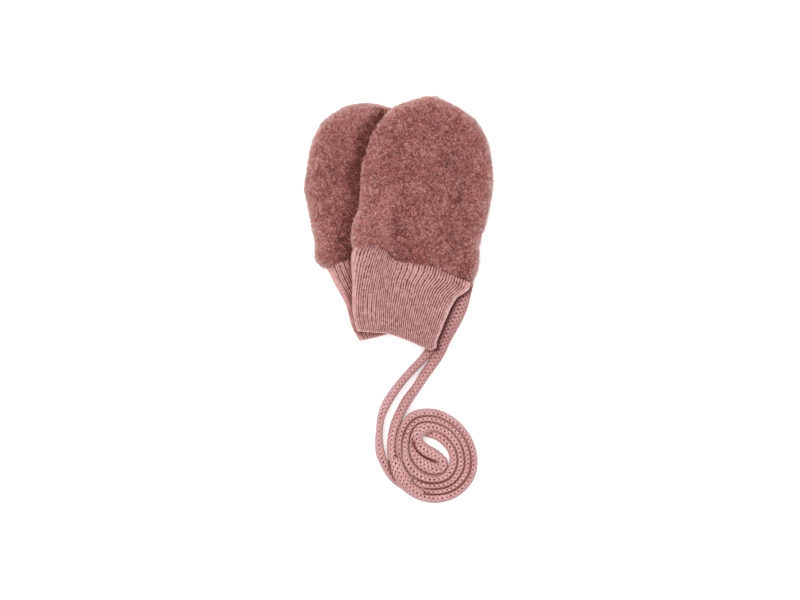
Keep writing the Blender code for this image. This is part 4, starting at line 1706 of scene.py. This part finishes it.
def over_rear(x: Array, y: Array) -> Array:
    """Underside of the front mitten: over the rear hand, cuff and strand, then down to the surface.

    Args:
        x: Plan x of each point.
        y: Plan y of each point.

    Returns:
        Height of the underside.
    """
    past_join = above_line((REAR_JOIN[0], REAR_JOIN[-1]), x, y) + JOIN_CLEARANCE
    past_mouth = -above_line((REAR_MOUTH[0], REAR_MOUTH[-1]), x, y)
    level = OVER_CUFF + (OVER_HAND - OVER_CUFF) * smoothstep(past_join / JOIN_RISE)
    level = level + (OVER_STRAND - OVER_CUFF) * smoothstep(past_mouth / MOUTH_FALL)
    return level * (1.0 - smoothstep((x - x_at(DROP_EDGE, y) + DROP_LEAD) / DROP_LENGTH))


def front_crown(x: Array, y: Array) -> Array:
    """Height of the front hand above its side seam, with the soft tuck beside the cuff."""
    return FRONT_CROWN + TUCK_CROWN * falling(x, -1.5, 1.8) * rising(x, -34.0, 18.0) * falling(y, 30.0, 28.0)


def front_edge_x(y: Array) -> Array:
    """x of the front hand's left edge and on round its fingertips, at each y."""
    return x_at(FRONT_HAND_LEFT + FRONT_HAND_TIP[1:5], y)


def rear_crown(x: Array, y: Array) -> Array:
    """Height of the rear hand above its side seam, fuller where the front mitten doesn't press it."""
    return REAR_CROWN + FREE_CROWN * falling(x, front_edge_x(y) - 2.0, 12.0)


def all_over(x: Array, y: Array) -> Array:
    """The same everywhere."""
    return np.ones_like(x)


def off_rear(x: Array, y: Array) -> Array:
    """Strength of the painted pale highlight: 1 round the front hand's free edge, less where it lies on the
    rear hand.
    """
    return 0.4 + 0.6 * np.maximum(rising(x, -6.0, 10.0), rising(y, 60.0, 6.0))


def beside_front(x: Array, y: Array) -> Array:
    """Fibres where the front mitten doesn't cover the rear one, and just under its edge."""
    return 0.02 + 0.98 * falling(x, np.where(y > 60.0, 20.0, front_edge_x(y) + 9.0), 3.0)


def front_painted_light(x: Array, y: Array) -> Array:
    """Painted light and shade: paler on the raised tuck, a painted shadow right of it and along the join.

    Args:
        x: Plan x of each point.
        y: Plan y of each point.

    Returns:
        Painted light or shade to add.
    """
    tuck = falling(x, -1.9, 1.0)
    beside = (1.0 - tuck) * falling(x, 14.0, 10.0)
    at_join = near_line(x, y, FRONT_JOIN, 1.6) * rising(x, -9.0, 3.0)
    return (0.1 * tuck - 0.05 * beside) * falling(y, 30.0, 26.0) - 0.12 * at_join


def rear_painted_shade(x: Array, y: Array) -> Array:
    """Painted shadow in the hollow beside the front mitten, and a little paler at the fingertips."""
    return 0.06 * rising(y, 50.0, 14.0) - 0.33 * rising(x, front_edge_x(y) - 13.5, 11.0)


def front_merge(x: Array, y: Array) -> Array:
    """Where the front cuff's wales pair up: below the join's middle and at the lower left.

    Args:
        x: Plan x of each point.
        y: Plan y of each point.

    Returns:
        How far they pair up, from 0 to 1.
    """
    below_join = np.exp(-(((x - 8.0) / 12.0) ** 2) - ((y + 30.0) / 9.0) ** 2)
    lower_left = np.exp(-(((x + 17.0) / 6.0) ** 2) - ((y + 53.0) / 10.0) ** 2)
    return np.clip(below_join + lower_left, 0.0, 1.0)


def rear_merge(x: Array, y: Array) -> Array:
    """The rear cuff's wales are paired all over."""
    return np.full_like(x, 0.7)


def over_strand(x: Array, y: Array) -> Array:
    """Lift of the front cuff's corner where its cord starts under it."""
    return 3.2 * rising(x, 34.0, 6.0) * rising(y, -50.0, 9.0)


def front_cuff_painted_light(x: Array, y: Array) -> Array:
    """Painted light and shade: a painted highlight on the front cuff's right fold and mouth, painted shade
    along its left fold.
    """
    tone = 0.14 * near_line(x, y, FRONT_CUFF_RIGHT, 2.8) - 0.08 * near_line(x, y, FRONT_CUFF_LEFT, 2.5)
    return tone + 0.06 * near_line(x, y, FRONT_MOUTH[:3], 2.4)


def rear_cuff_painted_shade(x: Array, y: Array) -> Array:
    """Painted shadow on the rear cuff beside the front one."""
    beside = near_line(x, y, FRONT_CUFF_LEFT + FRONT_JOIN[:1], 6.0)
    return -0.28 * beside - 0.1 * near_line(x, y, FRONT_MOUTH, 3.0)


# Soft creases in the hands' panels. Columns are both ends' x and y, the width and the height.
FRONT_CREASES: Points = (
    (5.0, -14.0, 5.0, 14.0, 7.0, -0.3),
    (0.5, 24.0, -4.0, 38.0, 4.5, -0.4),
    (4.0, -14.0, 30.0, -20.0, 5.0, -0.4),
    (-20.0, 40.0, -8.0, 30.0, 4.0, -0.4),
    (20.0, 46.0, 36.0, 38.0, 6.0, -0.4),
    (34.0, 6.0, 48.0, -4.0, 5.0, -0.4),
    (10.0, 60.0, 24.0, 66.0, 5.0, -0.35),
)
FRONT_PALM_CREASES: Points = ((0.0, -10.0, 6.0, 26.0, 5.0, -0.6), (24.0, 40.0, 38.0, 28.0, 6.0, -0.5))
REAR_CREASES: Points = (
    (-48.0, 51.0, -34.0, 55.5, 2.6, -0.5),
    (-46.0, 4.0, -34.0, -4.0, 5.0, -0.45),
    (-44.0, 30.0, -32.0, 22.0, 5.0, -0.4),
)
REAR_PALM_CREASES: Points = ((-30.0, 10.0, -10.0, 30.0, 6.0, -0.5),)


def mittens() -> tuple[tuple[FleeceHand, RibCuff], ...]:
    """Sizes of both mittens.

    Returns:
        A hand and a cuff for the rear and for the front mitten.
    """
    rear = FleeceHand(
        name="rear_hand",
        edges=(REAR_JOIN, REAR_HAND_TIP, REAR_HAND_LEFT, REAR_HAND_RIGHT),
        underside=nowhere,
        crown=rear_crown,
        crown_rounding=9.0,
        creases=REAR_CREASES,
        palm_creases=REAR_PALM_CREASES,
        cover=beside_front,
        back_nap=NapPlan(42000, seed=2),
        palm_nap=NapPlan(14000, seed=3),
        tone=rear_painted_shade,
        free_edge=all_over,
    )
    front = FleeceHand(
        name="front_hand",
        edges=(FRONT_JOIN, FRONT_HAND_TIP, FRONT_HAND_LEFT, FRONT_HAND_RIGHT),
        underside=over_rear,
        crown=front_crown,
        crown_rounding=12.0,
        creases=FRONT_CREASES,
        palm_creases=FRONT_PALM_CREASES,
        cover=all_over,
        back_nap=NapPlan(64000, seed=4),
        palm_nap=NapPlan(18000, seed=5),
        tone=front_painted_light,
        free_edge=off_rear,
    )
    rear_cuff = RibCuff(
        name="rear",
        join=REAR_JOIN,
        span=(0.025, 0.96),
        left=REAR_CUFF_LEFT,
        right=REAR_CUFF_RIGHT,
        mouth=REAR_MOUTH,
        underside=nowhere,
        wales=44,
        merge=rear_merge,
        swell=(),
        lift=nowhere,
        tone=rear_cuff_painted_shade,
    )
    front_cuff = RibCuff(
        name="front",
        join=FRONT_JOIN,
        span=(0.006, 0.985),
        left=FRONT_CUFF_LEFT,
        right=FRONT_CUFF_RIGHT,
        mouth=FRONT_MOUTH,
        underside=over_rear,
        wales=44,
        merge=front_merge,
        swell=((-20.0, -20.0, -12.0, -20.0, 5.0, 0.9),),
        lift=over_strand,
        tone=front_cuff_painted_light,
        lean=3.0,
        seam_shade_from=-16.0,
    )
    return (rear, rear_cuff), (front, front_cuff)


def main() -> None:
    """Build the studio, the cord, the cuffs and the hands."""
    studio = Studio()
    studio.camera()
    KnitCord().build(CordKnit().make())
    base, nap, rib = FleeceBase().make(), FleeceNap().make(), RibKnit().make()
    for hand, cuff in mittens():
        hand.build(base, nap)
        cuff.build(rib)
    studio.floor(PaleFloor().make())
    studio.lights()


if __name__ == "__main__":
    logging.basicConfig(level=logging.INFO, format="%(message)s")
    main()
